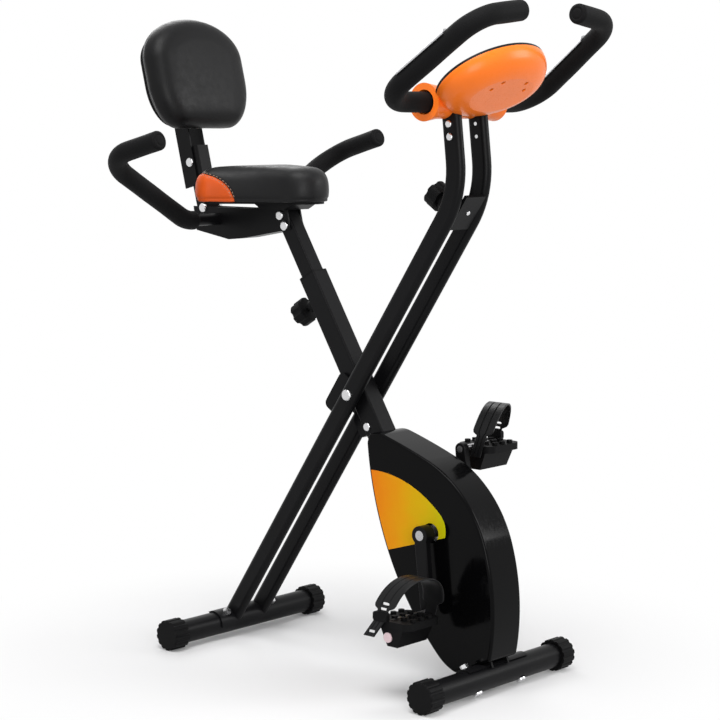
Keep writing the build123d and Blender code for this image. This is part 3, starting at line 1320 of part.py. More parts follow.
with BuildPart() as console_back:
    add(console_bowl(0))
    add(console_bowl(CONSOLE_WALL), mode=Mode.SUBTRACT)
    add(collar())
    add(rod(BAR_AXIS, BAR_RADIUS, -COLLAR_HALF, COLLAR_HALF), mode=Mode.SUBTRACT)
    for y in (-COLLAR_HALF, COLLAR_HALF - COLLAR_MOUTH_DEPTH):
        add(rod(BAR_AXIS, COLLAR_MOUTH, y, y + COLLAR_MOUTH_DEPTH), mode=Mode.SUBTRACT)
    for y in (-RAIL_Y, RAIL_Y):
        room = 2 * CONSOLE_ROOM
        section = across(UPPER, RAIL_TOP - STEM_LENGTH, y)
        length = STEM_TOP - RAIL_TOP + STEM_LENGTH
        add(slot_bar(section, length, RAIL_DEPTH + room, RAIL_WIDTH + room), mode=Mode.SUBTRACT)
    with BuildSketch(CONSOLE.offset(-CONSOLE_DEPTH)):
        with Locations((DOOR_AT, 0)):
            RectangleRounded(DOOR_LENGTH + 2 * BOLT_GAP, DOOR_WIDTH + 2 * BOLT_GAP, DOOR_CORNER)
        for x, y in CONSOLE_SCREWS:
            with Locations((x, y), (x, -y)):
                Circle(SCREW_HEAD)
    extrude(amount=CONSOLE_WALL, mode=Mode.SUBTRACT)

with BuildPart() as battery_door:
    with BuildSketch(CONSOLE.offset(-CONSOLE_DEPTH)):
        with Locations((DOOR_AT, 0)):
            RectangleRounded(DOOR_LENGTH, DOOR_WIDTH, DOOR_CORNER)
    extrude(amount=CONSOLE_WALL)

with BuildPart() as console_front:
    extrude(console_face(CONSOLE_RIM, 0), amount=FACE)
    with BuildSketch(CONSOLE.offset(CONSOLE_RIM)):
        Rectangle(CONSOLE_LENGTH, 2 * CONSOLE_HALF, align=(Align.MAX, Align.CENTER))
    extrude(amount=FACE, mode=Mode.SUBTRACT)
    add(collar(), mode=Mode.SUBTRACT)
    with BuildSketch(CONSOLE.offset(FACE_TOP)):
        with Locations((LENS_AT, 0)):
            RectangleRounded(LENS_LENGTH, LENS_WIDTH, LENS_CORNER)
    extrude(amount=-LENS, mode=Mode.SUBTRACT)
    with BuildSketch(CONSOLE.offset(FACE_TOP)):
        with Locations((BUTTON_AT, 0)):
            Circle(BUTTON_RADIUS + SLIDE_GAP)
    extrude(amount=-FACE, mode=Mode.SUBTRACT)

with BuildPart() as console_lens:
    with BuildSketch(CONSOLE.offset(FACE_TOP - LENS)):
        with Locations((LENS_AT, 0)):
            RectangleRounded(LENS_LENGTH, LENS_WIDTH, LENS_CORNER)
    extrude(amount=LENS)

with BuildPart() as mode_button:
    with BuildSketch(CONSOLE.offset(CONSOLE_RIM - SLIDE_GAP)):
        with Locations((BUTTON_AT, 0)):
            Circle(BUTTON_RADIUS + BUTTON_FLANGE)
    extrude(amount=-BUTTON_FLANGE)
    with BuildSketch(CONSOLE.offset(CONSOLE_RIM - SLIDE_GAP)):
        with Locations((BUTTON_AT, 0)):
            Circle(BUTTON_RADIUS)
    extrude(amount=FACE + SLIDE_GAP + BUTTON_PROUD)
    fillet(mode_button.faces().sort_by(Axis(CONSOLE.origin, CONSOLE.z_dir))[-1].edges(), BUTTON_EDGE)

PIECES = {
    "main_tube": main_tube,
    "seat_tube_bush": seat_tube_bush,
    "fold_lock_plate": fold_lock_plate,
    "fork_plates": fork_plates,
    "bottom_bracket_shell": bottom_bracket_shell,
    "bearings": bearings,
    "front_stabiliser": front_stabiliser,
    "front_saddle": front_saddle,
    "front_end_caps": front_end_caps,
    "front_bolts": front_bolts,
    "housing_right": housing_right,
    "housing_left": housing_left,
    "housing_screws": housing_screws,
    "side_panels": side_panels,
    "drive_belt": drive_belt,
    "flywheel": flywheel,
    "flywheel_shaft": flywheel_shaft,
    "crank_pulley": crank_pulley,
    "magnet_bracket": magnet_bracket,
    "brake_magnets": brake_magnets,
    "crank_axle": crank_axle,
    "crank_arms": crank_arms,
    "pedal_spindles": pedal_spindles,
    "pedal_right": pedal_right,
    "pedal_right_strap": pedal_right_strap,
    "pedal_left": pedal_left,
    "pedal_left_strap": pedal_left_strap,
    "seat_post": seat_post,
    "seat_bracket": seat_bracket,
    "seat_bolts": seat_bolts,
    "seat_clamp": seat_clamp,
    "seat_board": seat_board,
    "seat_cushion": seat_cushion,
    "seat_handle": seat_handle,
    "seat_grips": seat_grips,
    "backrest_upright": backrest_upright,
    "backrest_bars": backrest_bars,
    "backrest_bolt": backrest_bolt,
    "backrest_board": backrest_board,
    "backrest_pad": backrest_pad,
    "rail_right": rail_right,
    "rail_left": rail_left,
    "rail_bolts": rail_bolts,
    "pivot_bolt": pivot_bolt,
    "stop_bracket": stop_bracket,
    "rear_stabiliser": rear_stabiliser,
    "rear_saddle": rear_saddle,
    "rear_end_caps": rear_end_caps,
    "tension_bracket": tension_bracket,
    "tension_knob": tension_knob,
    "seat_pin_knob": seat_pin_knob,
    "handlebar": handlebar,
    "handlebar_grips": handlebar_grips,
    "handlebar_stems": handlebar_stems,
    "pulse_plates": pulse_plates,
    "console_back": console_back,
    "console_front": console_front,
    "console_lens": console_lens,
    "battery_door": battery_door,
    "mode_button": mode_button,
}

for name, piece in PIECES.items():
    piece.part.label = name
    export_step(piece.part, f"parts/{name}.step")
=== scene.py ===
"""Looks of a folding exercise bike: finishes, soft pieces, small fittings, stage and camera."""

import logging
import math
from dataclasses import dataclass, replace
from enum import Enum
from typing import Callable, Optional, Sequence

import bpy
import numpy as np
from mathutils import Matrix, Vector
from mathutils.bvhtree import BVHTree


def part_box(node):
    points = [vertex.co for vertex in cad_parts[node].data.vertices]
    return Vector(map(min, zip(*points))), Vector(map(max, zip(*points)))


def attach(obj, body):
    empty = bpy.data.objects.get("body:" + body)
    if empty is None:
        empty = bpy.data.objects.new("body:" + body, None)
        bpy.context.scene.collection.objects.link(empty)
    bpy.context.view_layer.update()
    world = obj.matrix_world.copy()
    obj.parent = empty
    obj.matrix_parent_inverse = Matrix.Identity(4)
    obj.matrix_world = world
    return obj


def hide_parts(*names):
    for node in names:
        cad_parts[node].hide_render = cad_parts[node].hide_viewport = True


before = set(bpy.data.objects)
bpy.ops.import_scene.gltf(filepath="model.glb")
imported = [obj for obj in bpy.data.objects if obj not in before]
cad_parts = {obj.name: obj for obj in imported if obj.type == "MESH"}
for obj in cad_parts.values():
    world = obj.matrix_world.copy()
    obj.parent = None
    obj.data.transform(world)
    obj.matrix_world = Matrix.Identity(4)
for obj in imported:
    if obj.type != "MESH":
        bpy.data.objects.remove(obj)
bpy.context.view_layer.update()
log = logging.getLogger("bike")

Colour = tuple[float, float, float]
Point = tuple[float, float, float]
Span = tuple[float, float]
Path = Sequence[Point]
Stops = Sequence[tuple[float, Colour]]
Faces = list[tuple[int, ...]]
Run = list[tuple[Vector, Vector]]
Piece = bpy.types.Object
Socket = bpy.types.NodeSocket
Inputs = dict[int | str, object]
NOISE_SPAN: Span = (0.3, 0.7)


class Side(Enum):
    """Side of the bike, as the sign of Y."""

    RIGHT = -1
    LEFT = 1


class Body(Enum):
    """Moving bodies that pieces ride on."""

    RAILS = "rail_frame"
    SEAT = "seat"
    BACK = "backrest"
    PEDAL_RIGHT = "pedal_right"
    PEDAL_LEFT = "pedal_left"


@dataclass(frozen=True)
class Layout:
    """Side layout of the bike in metres, the same as in the solid model."""

    pivot_x: float = 0.040657
    pivot_z: float = 0.475
    rail_angle: float = math.radians(56.1)
    rail_bend_at: float = 0.422
    rail_lean: float = math.radians(6.2)
    rail_top: float = 0.1328
    bar_back: float = 0.0117
    bar_rise: float = 0.017
    tube_angle: float = math.radians(58.7)
    bracket_top: float = 0.787
    handle_back: float = 0.1535
    handle_up: float = 0.765
    upright_back: float = 0.197
    upright_lean: float = math.radians(14.5)
    axle_forward: float = 0.184
    axle_drop: float = 0.217
    crank: float = 0.130
    crank_lean: float = math.radians(6.3)
    pedal_middle: float = 0.124

    @property
    def post_x(self) -> float:
        """X of the seat post at the bracket's top."""
        return self.pivot_x - (self.bracket_top - self.pivot_z) / math.tan(self.tube_angle)

    @property
    def handle_axis(self) -> Vector:
        """Middle of the seat handle's straight part."""
        return Vector((self.post_x - self.handle_back, 0.0, self.handle_up))

    @property
    def bar_axis(self) -> Vector:
        """Middle of the handlebar's straight part.

        Returns:
            The place, in metres.
        """
        x = self.pivot_x + self.rail_bend_at * math.cos(self.rail_angle)
        z = self.pivot_z + self.rail_bend_at * math.sin(self.rail_angle)
        x -= self.rail_top * math.sin(self.rail_lean) + self.bar_back
        z += self.rail_top * math.cos(self.rail_lean) + self.bar_rise
        return Vector((x, 0.0, z))

    @property
    def axle(self) -> Vector:
        """Middle of the crank axle."""
        return Vector((self.pivot_x + self.axle_forward, 0.0, self.pivot_z - self.axle_drop))

    def spindle(self, side: Side) -> Vector:
        """Middle of a pedal on its spindle.

        Args:
            side: Side of the bike.

        Returns:
            The place, in metres.
        """
        way = Vector((math.sin(self.crank_lean), 0.0, -math.cos(self.crank_lean)))
        middle = self.axle - way * (self.crank * side.value)
        middle.y = side.value * self.pedal_middle
        return middle


LAYOUT = Layout()
BAR_GRIP: Path = ((0.0, 0.074, 0.0), (0.0, 0.197, 0.0), (0.177, 0.174, 0.128), (0.182, 0.075, 0.140))
SEAT_GRIP: Path = ((0.0, 0.076, 0.0), (0.0, 0.097, 0.0), (0.002, 0.288, 0.113), (0.128, 0.278, 0.146))


class Nodes:
    """A tree of shader nodes."""

    MIX_FACTOR, MIX_FIRST, MIX_SECOND, MIX_RESULT = 0, 6, 7, 2

    def __init__(self, tree: bpy.types.NodeTree) -> None:
        """Start with an empty tree.

        Args:
            tree: Tree to fill.
        """
        self.tree = tree
        self.tree.nodes.clear()

    def node(self, kind: str, inputs: Optional[Inputs] = None, **settings: object) -> bpy.types.Node:
        """Add a node.

        Args:
            kind: Blender's name of the node type, without its start.
            inputs: Values or sockets for its inputs.
            settings: Attributes to set on it.

        Returns:
            The new node.
        """
        made = self.tree.nodes.new(f"ShaderNode{kind}")
        for key, value in settings.items():
            setattr(made, key, value)
        for key, value in (inputs or {}).items():
            self.feed(made.inputs[key], value)
        return made

    def feed(self, target: Socket, value: object) -> None:
        """Give an input a value, a colour or what another socket gives out.

        Args:
            target: The input.
            value: What to give it.
        """
        if isinstance(value, Socket):
            self.tree.links.new(value, target)
        else:
            target.default_value = (*value, 1.0) if target.type == "RGBA" else value

    def sums(self, kind: str, first: object, second: object = 0.0) -> Socket:
        """One arithmetic step on sockets or numbers."""
        return self.node("Math", {0: first, 1: second}, operation=kind).outputs["Value"]

    def squares(self, first: Socket, second: Socket) -> Socket:
        """Sum of two squares."""
        return self.sums("ADD", self.sums("MULTIPLY", first, first), self.sums("MULTIPLY", second, second))

    def between(self, value: Socket, low: float, high: float, source: Span = NOISE_SPAN,
                **settings: str) -> Socket:
        """Map a value from one range to another.

        Args:
            value: Socket to map.
            low: Result at the low end.
            high: Result at the high end.
            source: Low and high end of the value's own range.
            settings: Other settings of the node.

        Returns:
            The mapped value.
        """
        ends = {"From Min": source[0], "From Max": source[1], "To Min": low, "To Max": high}
        return self.node("MapRange", {"Value": value, **ends}, **settings).outputs["Result"]

    def ramp(self, value: Socket, stops: Stops) -> Socket:
        """Colour ramp over a value.

        Args:
            value: Socket from 0 to 1.
            stops: Places and colours.

        Returns:
            The colour.
        """
        made = self.node("ValToRGB", {"Fac": value})
        elements = made.color_ramp.elements
        while len(elements) < len(stops):
            elements.new(0.5)
        for element, (at, colour) in zip(elements, stops):
            element.position = at
            element.color = (*colour, 1.0)
        return made.outputs["Color"]

    def mix(self, factor: Socket, first: object, second: object) -> Socket:
        """Mix two colours by a factor."""
        inputs = {self.MIX_FACTOR: factor, self.MIX_FIRST: first, self.MIX_SECOND: second}
        return self.node("Mix", inputs, data_type="RGBA").outputs[self.MIX_RESULT]


class Graph(Nodes):
    """Shader graph of one material, in the object's own metres."""

    def __init__(self, name: str, **values: object) -> None:
        """Start a material with one surface shader.

        Args:
            name: Name of the material.
            values: Inputs of the shader, named with underscores for spaces.
        """
        self.material = bpy.data.materials.new(name)
        self.material.use_nodes = True
        super().__init__(self.material.node_tree)
        inputs = {key.replace("_", " "): value for key, value in values.items()}
        self.shader = self.node("BsdfPrincipled", inputs)
        self.output = self.node("OutputMaterial", {"Surface": self.shader.outputs["BSDF"]})
        self.place = self.node("TexCoord").outputs["Object"]

    def noise(self, scale: float, detail: float = 2.0, stretch: Point = (1.0, 1.0, 1.0)) -> Socket:
        """Soft noise from 0 to 1.

        Args:
            scale: Waves per metre.
            detail: Octaves.
            stretch: Scale of the coordinates, for drawn-out marks.

        Returns:
            The noise value.
        """
        place = self.node("Mapping", {"Vector": self.place, "Scale": stretch}).outputs["Vector"]
        return self.node("TexNoise", {"Vector": place, "Scale": scale, "Detail": detail}).outputs["Fac"]

    def cells(self, scale: float, feature: str) -> Socket:
        """Cell pattern, as the distance to a feature of the cells."""
        inputs = {"Vector": self.place, "Scale": scale}
        return self.node("TexVoronoi", inputs, feature=feature).outputs["Distance"]

    def axes(self) -> Sequence[Socket]:
        """X, Y and Z of the object coordinates."""
        return self.node("SeparateXYZ", {"Vector": self.place}).outputs

    def relief(self, height: Socket, strength: float, depth: float) -> None:
        """Add bump to the surface, on top of bump that is already there.

        Args:
            height: Height value.
            strength: Strength of the bump.
            depth: Depth in metres.
        """
        normal = self.shader.inputs["Normal"]
        under = {"Normal": link.from_socket for link in normal.links}
        bump = self.node("Bump", {"Strength": strength, "Distance": depth, "Height": height, **under})
        self.feed(normal, bump.outputs["Normal"])


@dataclass(frozen=True)
class Relief:
    """One layer of bump, from noise or from a feature of cells."""

    scale: float
    strength: float
    depth: float = 0.0002
    detail: float = 2.0
    stretch: Point = (1.0, 1.0, 1.0)
    feature: str = ""

    def add(self, graph: Graph) -> Socket:
        """Add the layer to a material.

        Args:
            graph: Graph to add to.

        Returns:
            The layer's height.
        """
        if self.feature:
            height = graph.cells(self.scale, self.feature)
        else:
            height = graph.noise(self.scale, self.detail, self.stretch)
        graph.relief(height, self.strength, self.depth)
        return height


@dataclass(frozen=True)
class Finish:
    """A surface finish: a colour that varies a little, bump, and a roughness that varies with it."""

    name: str
    colour: Colour
    roughness: float
    roughness_spread: float = 0.06
    colour_spread: float = 0.25
    cloud: Span = (9.0, 4.0)
    bump: Sequence[Relief] = (Relief(900.0, 0.12),)
    wear: Optional[Span] = None
    metallic: float = 0.0
    coat: float = 0.0
    coat_roughness: float = 0.12
    sheen: float = 0.0
    specular: float = 0.5

    def material(self) -> bpy.types.Material:
        """The finish as a material, made once."""
        known = bpy.data.materials.get(self.name)
        return known if known else self.build()

    def build(self) -> bpy.types.Material:
        """Make the material.

        Returns:
            The material.
        """
        coat = {"Coat_Weight": self.coat, "Coat_Roughness": self.coat_roughness, "Sheen_Weight": self.sheen}
        graph = Graph(self.name, Metallic=self.metallic, Specular_IOR_Level=self.specular, **coat)
        graph.feed(graph.shader.inputs["Base Color"], self.paint(graph))
        fine = self.texture(graph)
        low, high = self.roughness - self.roughness_spread, self.roughness + self.roughness_spread
        graph.feed(graph.shader.inputs["Roughness"], graph.between(fine, low, high))
        return graph.material

    @staticmethod
    def shades(colour: Colour, dark: float, light: float) -> Stops:
        """Darker and lighter shade of a colour, as ramp stops.

        Args:
            colour: Middle shade.
            dark: Factor of the darker shade.
            light: Factor of the lighter shade.

        Returns:
            The stops.
        """
        return [(at, tuple(c * share for c in colour)) for at, share in zip(NOISE_SPAN, (dark, light))]

    def paint(self, graph: Graph) -> Socket:
        """Base colour of the finish."""
        spread = (1.0 - self.colour_spread, 1.0 + self.colour_spread)
        return graph.ramp(graph.noise(*self.cloud), self.shades(self.colour, *spread))

    def texture(self, graph: Graph) -> Socket:
        """Bump of the surface, and what drives its roughness.

        Args:
            graph: Graph to add to.

        Returns:
            The last layer of bump, or noise for the wear.
        """
        heights = [layer.add(graph) for layer in self.bump]
        return graph.noise(*self.wear) if self.wear else heights[-1]


@dataclass(frozen=True)
class SeatLeather(Finish):
    """Black leather with a coloured panel at each rear corner of the seat."""

    panel: Colour = (0.62, 0.085, 0.008)
    panel_cloud: Span = (14.0, 3.0)
    panel_shades: Span = (0.85, 1.1)
    panel_x: float = -0.239
    panel_z: float = 0.803
    panel_length: float = 0.0535
    panel_height: float = 0.048
    panel_inside: float = 0.050

    def inside(self, graph: Graph) -> Socket:
        """1 inside the rear corner panels, 0 elsewhere.

        Args:
            graph: Graph to add to.

        Returns:
            The mask.
        """
        x, y, z = graph.axes()
        along = graph.sums("DIVIDE", graph.sums("SUBTRACT", x, self.panel_x), self.panel_length)
        up = graph.sums("DIVIDE", graph.sums("SUBTRACT", z, self.panel_z), self.panel_height)
        forward = graph.sums("MAXIMUM", along, 0.0)
        rise = graph.sums("MAXIMUM", up, 0.0)
        corner = graph.sums("LESS_THAN", graph.squares(forward, rise), 1.0)
        outer = graph.sums("GREATER_THAN", graph.sums("ABSOLUTE", y), self.panel_inside)
        return graph.sums("MULTIPLY", corner, outer)

    def paint(self, graph: Graph) -> Socket:
        """Black leather, with the panels in colour.

        Args:
            graph: Graph to add to.

        Returns:
            The colour.
        """
        black = super().paint(graph)
        colour = graph.ramp(graph.noise(*self.panel_cloud), self.shades(self.panel, *self.panel_shades))
        return graph.mix(self.inside(graph), black, colour)


@dataclass(frozen=True)
class FadedFilm(Finish):
    """Printed film that fades from its rear edge forward."""

    rear: float = 0.0
    front: float = 1.0
    stops: Stops = ((0.0, (0.80, 0.20, 0.008)), (0.45, (0.74, 0.34, 0.006)), (1.0, (0.52, 0.50, 0.004)))
    print_cloud: Span = (30.0, 3.0)
    unevenness: float = 0.05

    def paint(self, graph: Graph) -> Socket:
        """Colours faded along the bike, with a slight unevenness of the print.

        Args:
            graph: Graph to add to.

        Returns:
            The colour.
        """
        x, _, _ = graph.axes()
        along = graph.between(x, 0.0, 1.0, (self.rear, self.front))
        uneven = graph.between(graph.noise(*self.print_cloud), -self.unevenness, self.unevenness)
        return graph.ramp(graph.sums("ADD", along, uneven), self.stops)


@dataclass(frozen=True)
class Display(Finish):
    """Tinted window over a pale display."""

    glass: Colour = (0.02, 0.022, 0.02)
    window_half: float = 0.036

    def paint(self, graph: Graph) -> Socket:
        """Pale display with a dark border.

        Args:
            graph: Graph to add to.

        Returns:
            The colour.
        """
        pale = super().paint(graph)
        _, y, _ = graph.axes()
        border = graph.sums("GREATER_THAN", graph.sums("ABSOLUTE", y), self.window_half)
        return graph.mix(border, pale, self.glass)


class Finishes:
    """The finishes of this bike, under names that the solid model's own materials don't have."""

    SHELL_BUMP = (Relief(7.0, 0.05, 0.004, 1.0), Relief(240.0, 0.03, detail=3.0, stretch=(1.0, 1.0, 0.08)))
    FOAM_BUMP = (Relief(120.0, 0.15, 0.0006, 3.0), Relief(1300.0, 0.3, feature="F1"))
    LEATHER_BUMP = (
        Relief(26.0, 0.1, 0.0022, 4.0),
        Relief(450.0, 0.12, 0.0003, feature="DISTANCE_TO_EDGE"),
        Relief(1000.0, 0.18, feature="DISTANCE_TO_EDGE"),
    )
    LEATHER_WEAR: Span = (90.0, 4.0)
    FOAM_WEAR: Span = (1300.0, 2.0)

    COAT = Finish("frame_powder_coat", (0.0045, 0.0045, 0.005), 0.35, 0.07, 0.2,
                  bump=(Relief(1100.0, 0.16),), specular=0.09)
    SHELL = Finish("housing_gloss", (0.0016, 0.0016, 0.0018), 0.13, 0.05, 0.2,
                   bump=SHELL_BUMP, specular=0.07)
    FILM = FadedFilm("panel_film", (0.8, 0.35, 0.01), 0.25, 0.04, 0.05,
                     bump=(Relief(900.0, 0.03),), specular=0.05)
    ORANGE = Finish("console_orange", (0.98, 0.2, 0.018), 0.3, 0.06, 0.05,
                    bump=(Relief(700.0, 0.04),), specular=0.25)
    PLASTIC = Finish("moulded_black", (0.004, 0.004, 0.0043), 0.5, 0.08, 0.2,
                     bump=(Relief(1500.0, 0.25),), specular=0.07)
    FACE = Finish("console_face", (0.008, 0.008, 0.0085), 0.42, 0.06, 0.15,
                  bump=(Relief(1300.0, 0.12),), specular=0.14)
    BUTTON = Finish("mode_button_red", (0.45, 0.02, 0.012), 0.34, 0.05, 0.1)
    ZINC = Finish("zinc_plate", (0.66, 0.66, 0.67), 0.24, 0.08, 0.12,
                  bump=(Relief(500.0, 0.08),), metallic=1.0)
    STEEL = Finish("turned_steel", (0.46, 0.46, 0.47), 0.33, 0.1, 0.15,
                   bump=(Relief(400.0, 0.12),), metallic=1.0)
    IRON = Finish("flywheel_iron", (0.14, 0.14, 0.145), 0.55, 0.1, 0.2,
                  bump=(Relief(350.0, 0.3),), metallic=0.8)
    BELT = Finish("drive_belt_rubber", (0.007, 0.007, 0.007), 0.65, 0.08, 0.2, specular=0.12)
    FOAM = Finish("grip_foam", (0.0042, 0.0042, 0.0045), 0.7, 0.08, 0.25,
                  bump=FOAM_BUMP, wear=FOAM_WEAR, sheen=0.01, specular=0.09)
    STRAP = Finish("foot_strap_rubber", (0.006, 0.006, 0.0064), 0.36, 0.07, 0.2,
                   bump=(Relief(1400.0, 0.12),), specular=0.2)
    LEATHER = Finish("black_leather", (0.004, 0.004, 0.0044), 0.42, 0.06, 0.2,
                     bump=LEATHER_BUMP, wear=LEATHER_WEAR, specular=0.16)
    SEAT = SeatLeather("seat_leather", (0.005, 0.005, 0.0054), 0.44, 0.06, 0.2,
                       bump=LEATHER_BUMP, wear=LEATHER_WEAR, specular=0.18)
    # Piping cord: a real seam cord, but its grey, lighter than the black leather, is painted highlight along
    # the seam.
    PIPING_WITH_PAINTED_HIGHLIGHT = Finish("piping", (0.05, 0.05, 0.052), 0.3, 0.06, 0.2, specular=0.6)
    THREAD = Finish("seam_thread", (0.33, 0.2, 0.14), 0.7, 0.1, 0.2, bump=(Relief(2400.0, 0.4),))
    REFLECTOR = Finish("reflector", (0.72, 0.55, 0.58), 0.25, 0.06, 0.12,
                       bump=(Relief(450.0, 0.35),), coat=0.3)
    LENS = Display("display_window", (0.2, 0.23, 0.19), 0.12, 0.03, 0.08,
                   bump=(Relief(1800.0, 0.12),), coat=0.4)


class Meshes:
    """Ways to make and change meshes."""

    @staticmethod
    def make(name: str, points: Sequence[Vector], faces: Faces, finish: Finish, body: Body) -> Piece:
        """Make an object from points and faces.

        Args:
            name: Name of the piece.
            points: Points in metres.
            faces: Corner indices of each face.
            finish: Finish of the piece.
            body: Body that it rides on.

        Returns:
            The new object.
        """
        mesh = bpy.data.meshes.new(name)
        mesh.from_pydata([tuple(map(float, point)) for point in points], [], faces)
        mesh.shade_smooth()
        return Meshes.place(name, mesh, finish, body)

    @staticmethod
    def place(name: str, mesh: bpy.types.Mesh, finish: Finish, body: Body) -> Piece:
        """Put a mesh in the scene.

        Args:
            name: Name of the piece.
            mesh: The mesh.
            finish: Finish of the piece.
            body: Body that it rides on.

        Returns:
            The new object.
        """
        made = bpy.data.objects.new(name, mesh)
        bpy.context.scene.collection.objects.link(made)
        made.data.materials.clear()
        made.data.materials.append(finish.material())
        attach(made, body.value)
        log.info("%s: %d faces", name, len(mesh.polygons))
        return made

    @staticmethod
    def grid_faces(rows: int, columns: int, first: int = 0) -> Faces:
        """Faces between closed rings of points.

        Args:
            rows: Number of rings.
            columns: Points in each ring.
            first: Index of the first point.

        Returns:
            The faces.
        """
        faces = []
        for row in range(rows - 1):
            for column in range(columns):
                beside = (column + 1) % columns
                low, high = first + row * columns, first + (row + 1) * columns
                faces.append((low + column, low + beside, high + beside, high + column))
        return faces

    @staticmethod
    def closed(rows: int, columns: int, first: int = 0) -> Faces:
        """Faces between rings of points, with both ends closed.

        Args:
            rows: Number of rings.
            columns: Points in each ring.
            first: Index of the first point.

        Returns:
            The faces.
        """
        last = first + (rows - 1) * columns
        ends = [tuple(first + i for i in reversed(range(columns))), tuple(last + i for i in range(columns))]
        return Meshes.grid_faces(rows, columns, first) + ends

    @staticmethod
    def points_of(made: Piece, what: str = "co") -> np.ndarray:
        """Read the points of an object's mesh.

        Args:
            made: The piece.
            what: Blender's name of the value to read.

        Returns:
            A row for each point.
        """
        values = np.empty(len(made.data.vertices) * 3, dtype=np.float32)
        made.data.vertices.foreach_get(what, values)
        return values.reshape(-1, 3).astype(float)

    @staticmethod
    def move_points(made: Piece, points: np.ndarray) -> None:
        """Give an object's mesh new points."""
        made.data.vertices.foreach_set("co", points.astype(np.float32).ravel())
        made.data.update()

    @staticmethod
    def normals_of(made: Piece) -> np.ndarray:
        """Point normals of an object's mesh."""
        return Meshes.points_of(made, "normal")

    @staticmethod
    def apply_modifiers(made: Piece) -> None:
        """Bake an object's modifiers into its mesh.

        Args:
            made: The piece.
        """
        shown = made.evaluated_get(bpy.context.evaluated_depsgraph_get())
        baked = bpy.data.meshes.new_from_object(shown)
        made.modifiers.clear()
        old = made.data
        made.data = baked
        bpy.data.meshes.remove(old)
        made.data.shade_smooth()

    @staticmethod
    def modify(made: Piece, kind: str, **settings: object) -> None:
        """Change an object's mesh with one modifier.

        Args:
            made: The piece.
            kind: Blender's name of the modifier type.
            settings: Attributes to set on it.
        """
        modifier = made.modifiers.new(kind, kind)
        for key, value in settings.items():
            setattr(modifier, key, value)
        Meshes.apply_modifiers(made)

    @staticmethod
    def spread(made: Piece, field: np.ndarray, rounds: int) -> np.ndarray:
        """Even out vectors over a mesh, so that they keep their broad form and lose their creases.

        Args:
            made: The piece.
            field: A vector for each point.
            rounds: Rounds of averaging with the neighbours.

        Returns:
            The evened vectors.
        """
        ends = np.empty(len(made.data.edges) * 2, dtype=np.int32)
        made.data.edges.foreach_get("vertices", ends)
        first, second = ends.reshape(-1, 2).T
        count = np.bincount(ends, minlength=len(field))[:, None]
        for _ in range(rounds):
            total = np.zeros_like(field)
            np.add.at(total, first, field[second])
            np.add.at(total, second, field[first])
            field = (field + total / np.maximum(count, 1)) / 2.0
        return field

    @staticmethod
    def tree(made: Piece) -> BVHTree:
        """Search tree of an object's surface."""
        faces = [tuple(face.vertices) for face in made.data.polygons]
        return BVHTree.FromPolygons([v.co.copy() for v in made.data.vertices], faces)


def ring(centre: Vector, across: Vector, beside: Vector, radius: float, sides: int) -> list[Vector]:
    """Points of one ring.

    Args:
        centre: Middle of the ring.
        across: Direction of its first point.
        beside: Direction of the point a quarter turn on.
        radius: Radius of the ring.
        sides: Number of points.

    Returns:
        The points.
    """
    turns = [2.0 * math.pi * i / sides for i in range(sides)]
    return [centre + (across * math.cos(turn) + beside * math.sin(turn)) * radius for turn in turns]


class Route:
    """A path of straight runs with rounded corners."""

    def __init__(self, corners: Sequence[Vector], bend: float, step: float) -> None:
        """Work out points along the path.

        Args:
            corners: Ends and corners of the path.
            bend: Radius of each corner.
            step: Greatest distance between points.
        """
        points = [corners[0]]
        for before, corner, after in zip(corners, corners[1:], corners[2:]):
            points += self.corner(before, corner, after, bend, step)
        points.append(corners[-1])
        filled = [points[0]]
        for start, end in zip(points, points[1:]):
            count = max(1, math.ceil((end - start).length / step))
            filled += [start.lerp(end, i / count) for i in range(1, count + 1)]
        self.points = filled

    @staticmethod
    def corner(before: Vector, corner: Vector, after: Vector, bend: float, step: float) -> list[Vector]:
        """Points of one rounded corner.

        Args:
            before: Place before the corner.
            corner: The corner.
            after: Place after it.
            bend: Radius of the corner.
            step: Greatest distance between points.

        Returns:
            Points on the arc.
        """
        into, out = (before - corner).normalized(), (after - corner).normalized()
        half = into.angle(out) / 2.0
        reach = bend / math.tan(half)
        centre = corner + (into + out).normalized() * (bend / math.sin(half))
        start, end = corner + into * reach - centre, corner + out * reach - centre
        count = max(2, math.ceil(bend * start.angle(end) / step))
        first, last = start.normalized(), end.normalized()
        return [centre + first.slerp(last, i / count) * bend for i in range(count + 1)]

    def rings(self, radii: Callable[[float, float], float], sides: int) -> np.ndarray:
        """Rings of points round the path.

        Args:
            radii: Radius from the distance to the path's start and to its end.
            sides: Points in each ring.

        Returns:
            Array of rings.
        """
        points = self.points
        lengths = np.concatenate([[0.0], np.cumsum([(b - a).length for a, b in zip(points, points[1:])])])
        across = Vector((0.0, 0.0, 1.0))
        rings = []
        for index, point in enumerate(points):
            way = (points[min(index + 1, len(points) - 1)] - points[max(index - 1, 0)]).normalized()
            across = (across - way * across.dot(way)).normalized()
            beside = way.cross(across)
            radius = radii(lengths[index], lengths[-1] - lengths[index])
            rings.append(ring(point, across, beside, radius, sides))
        return np.array(rings)


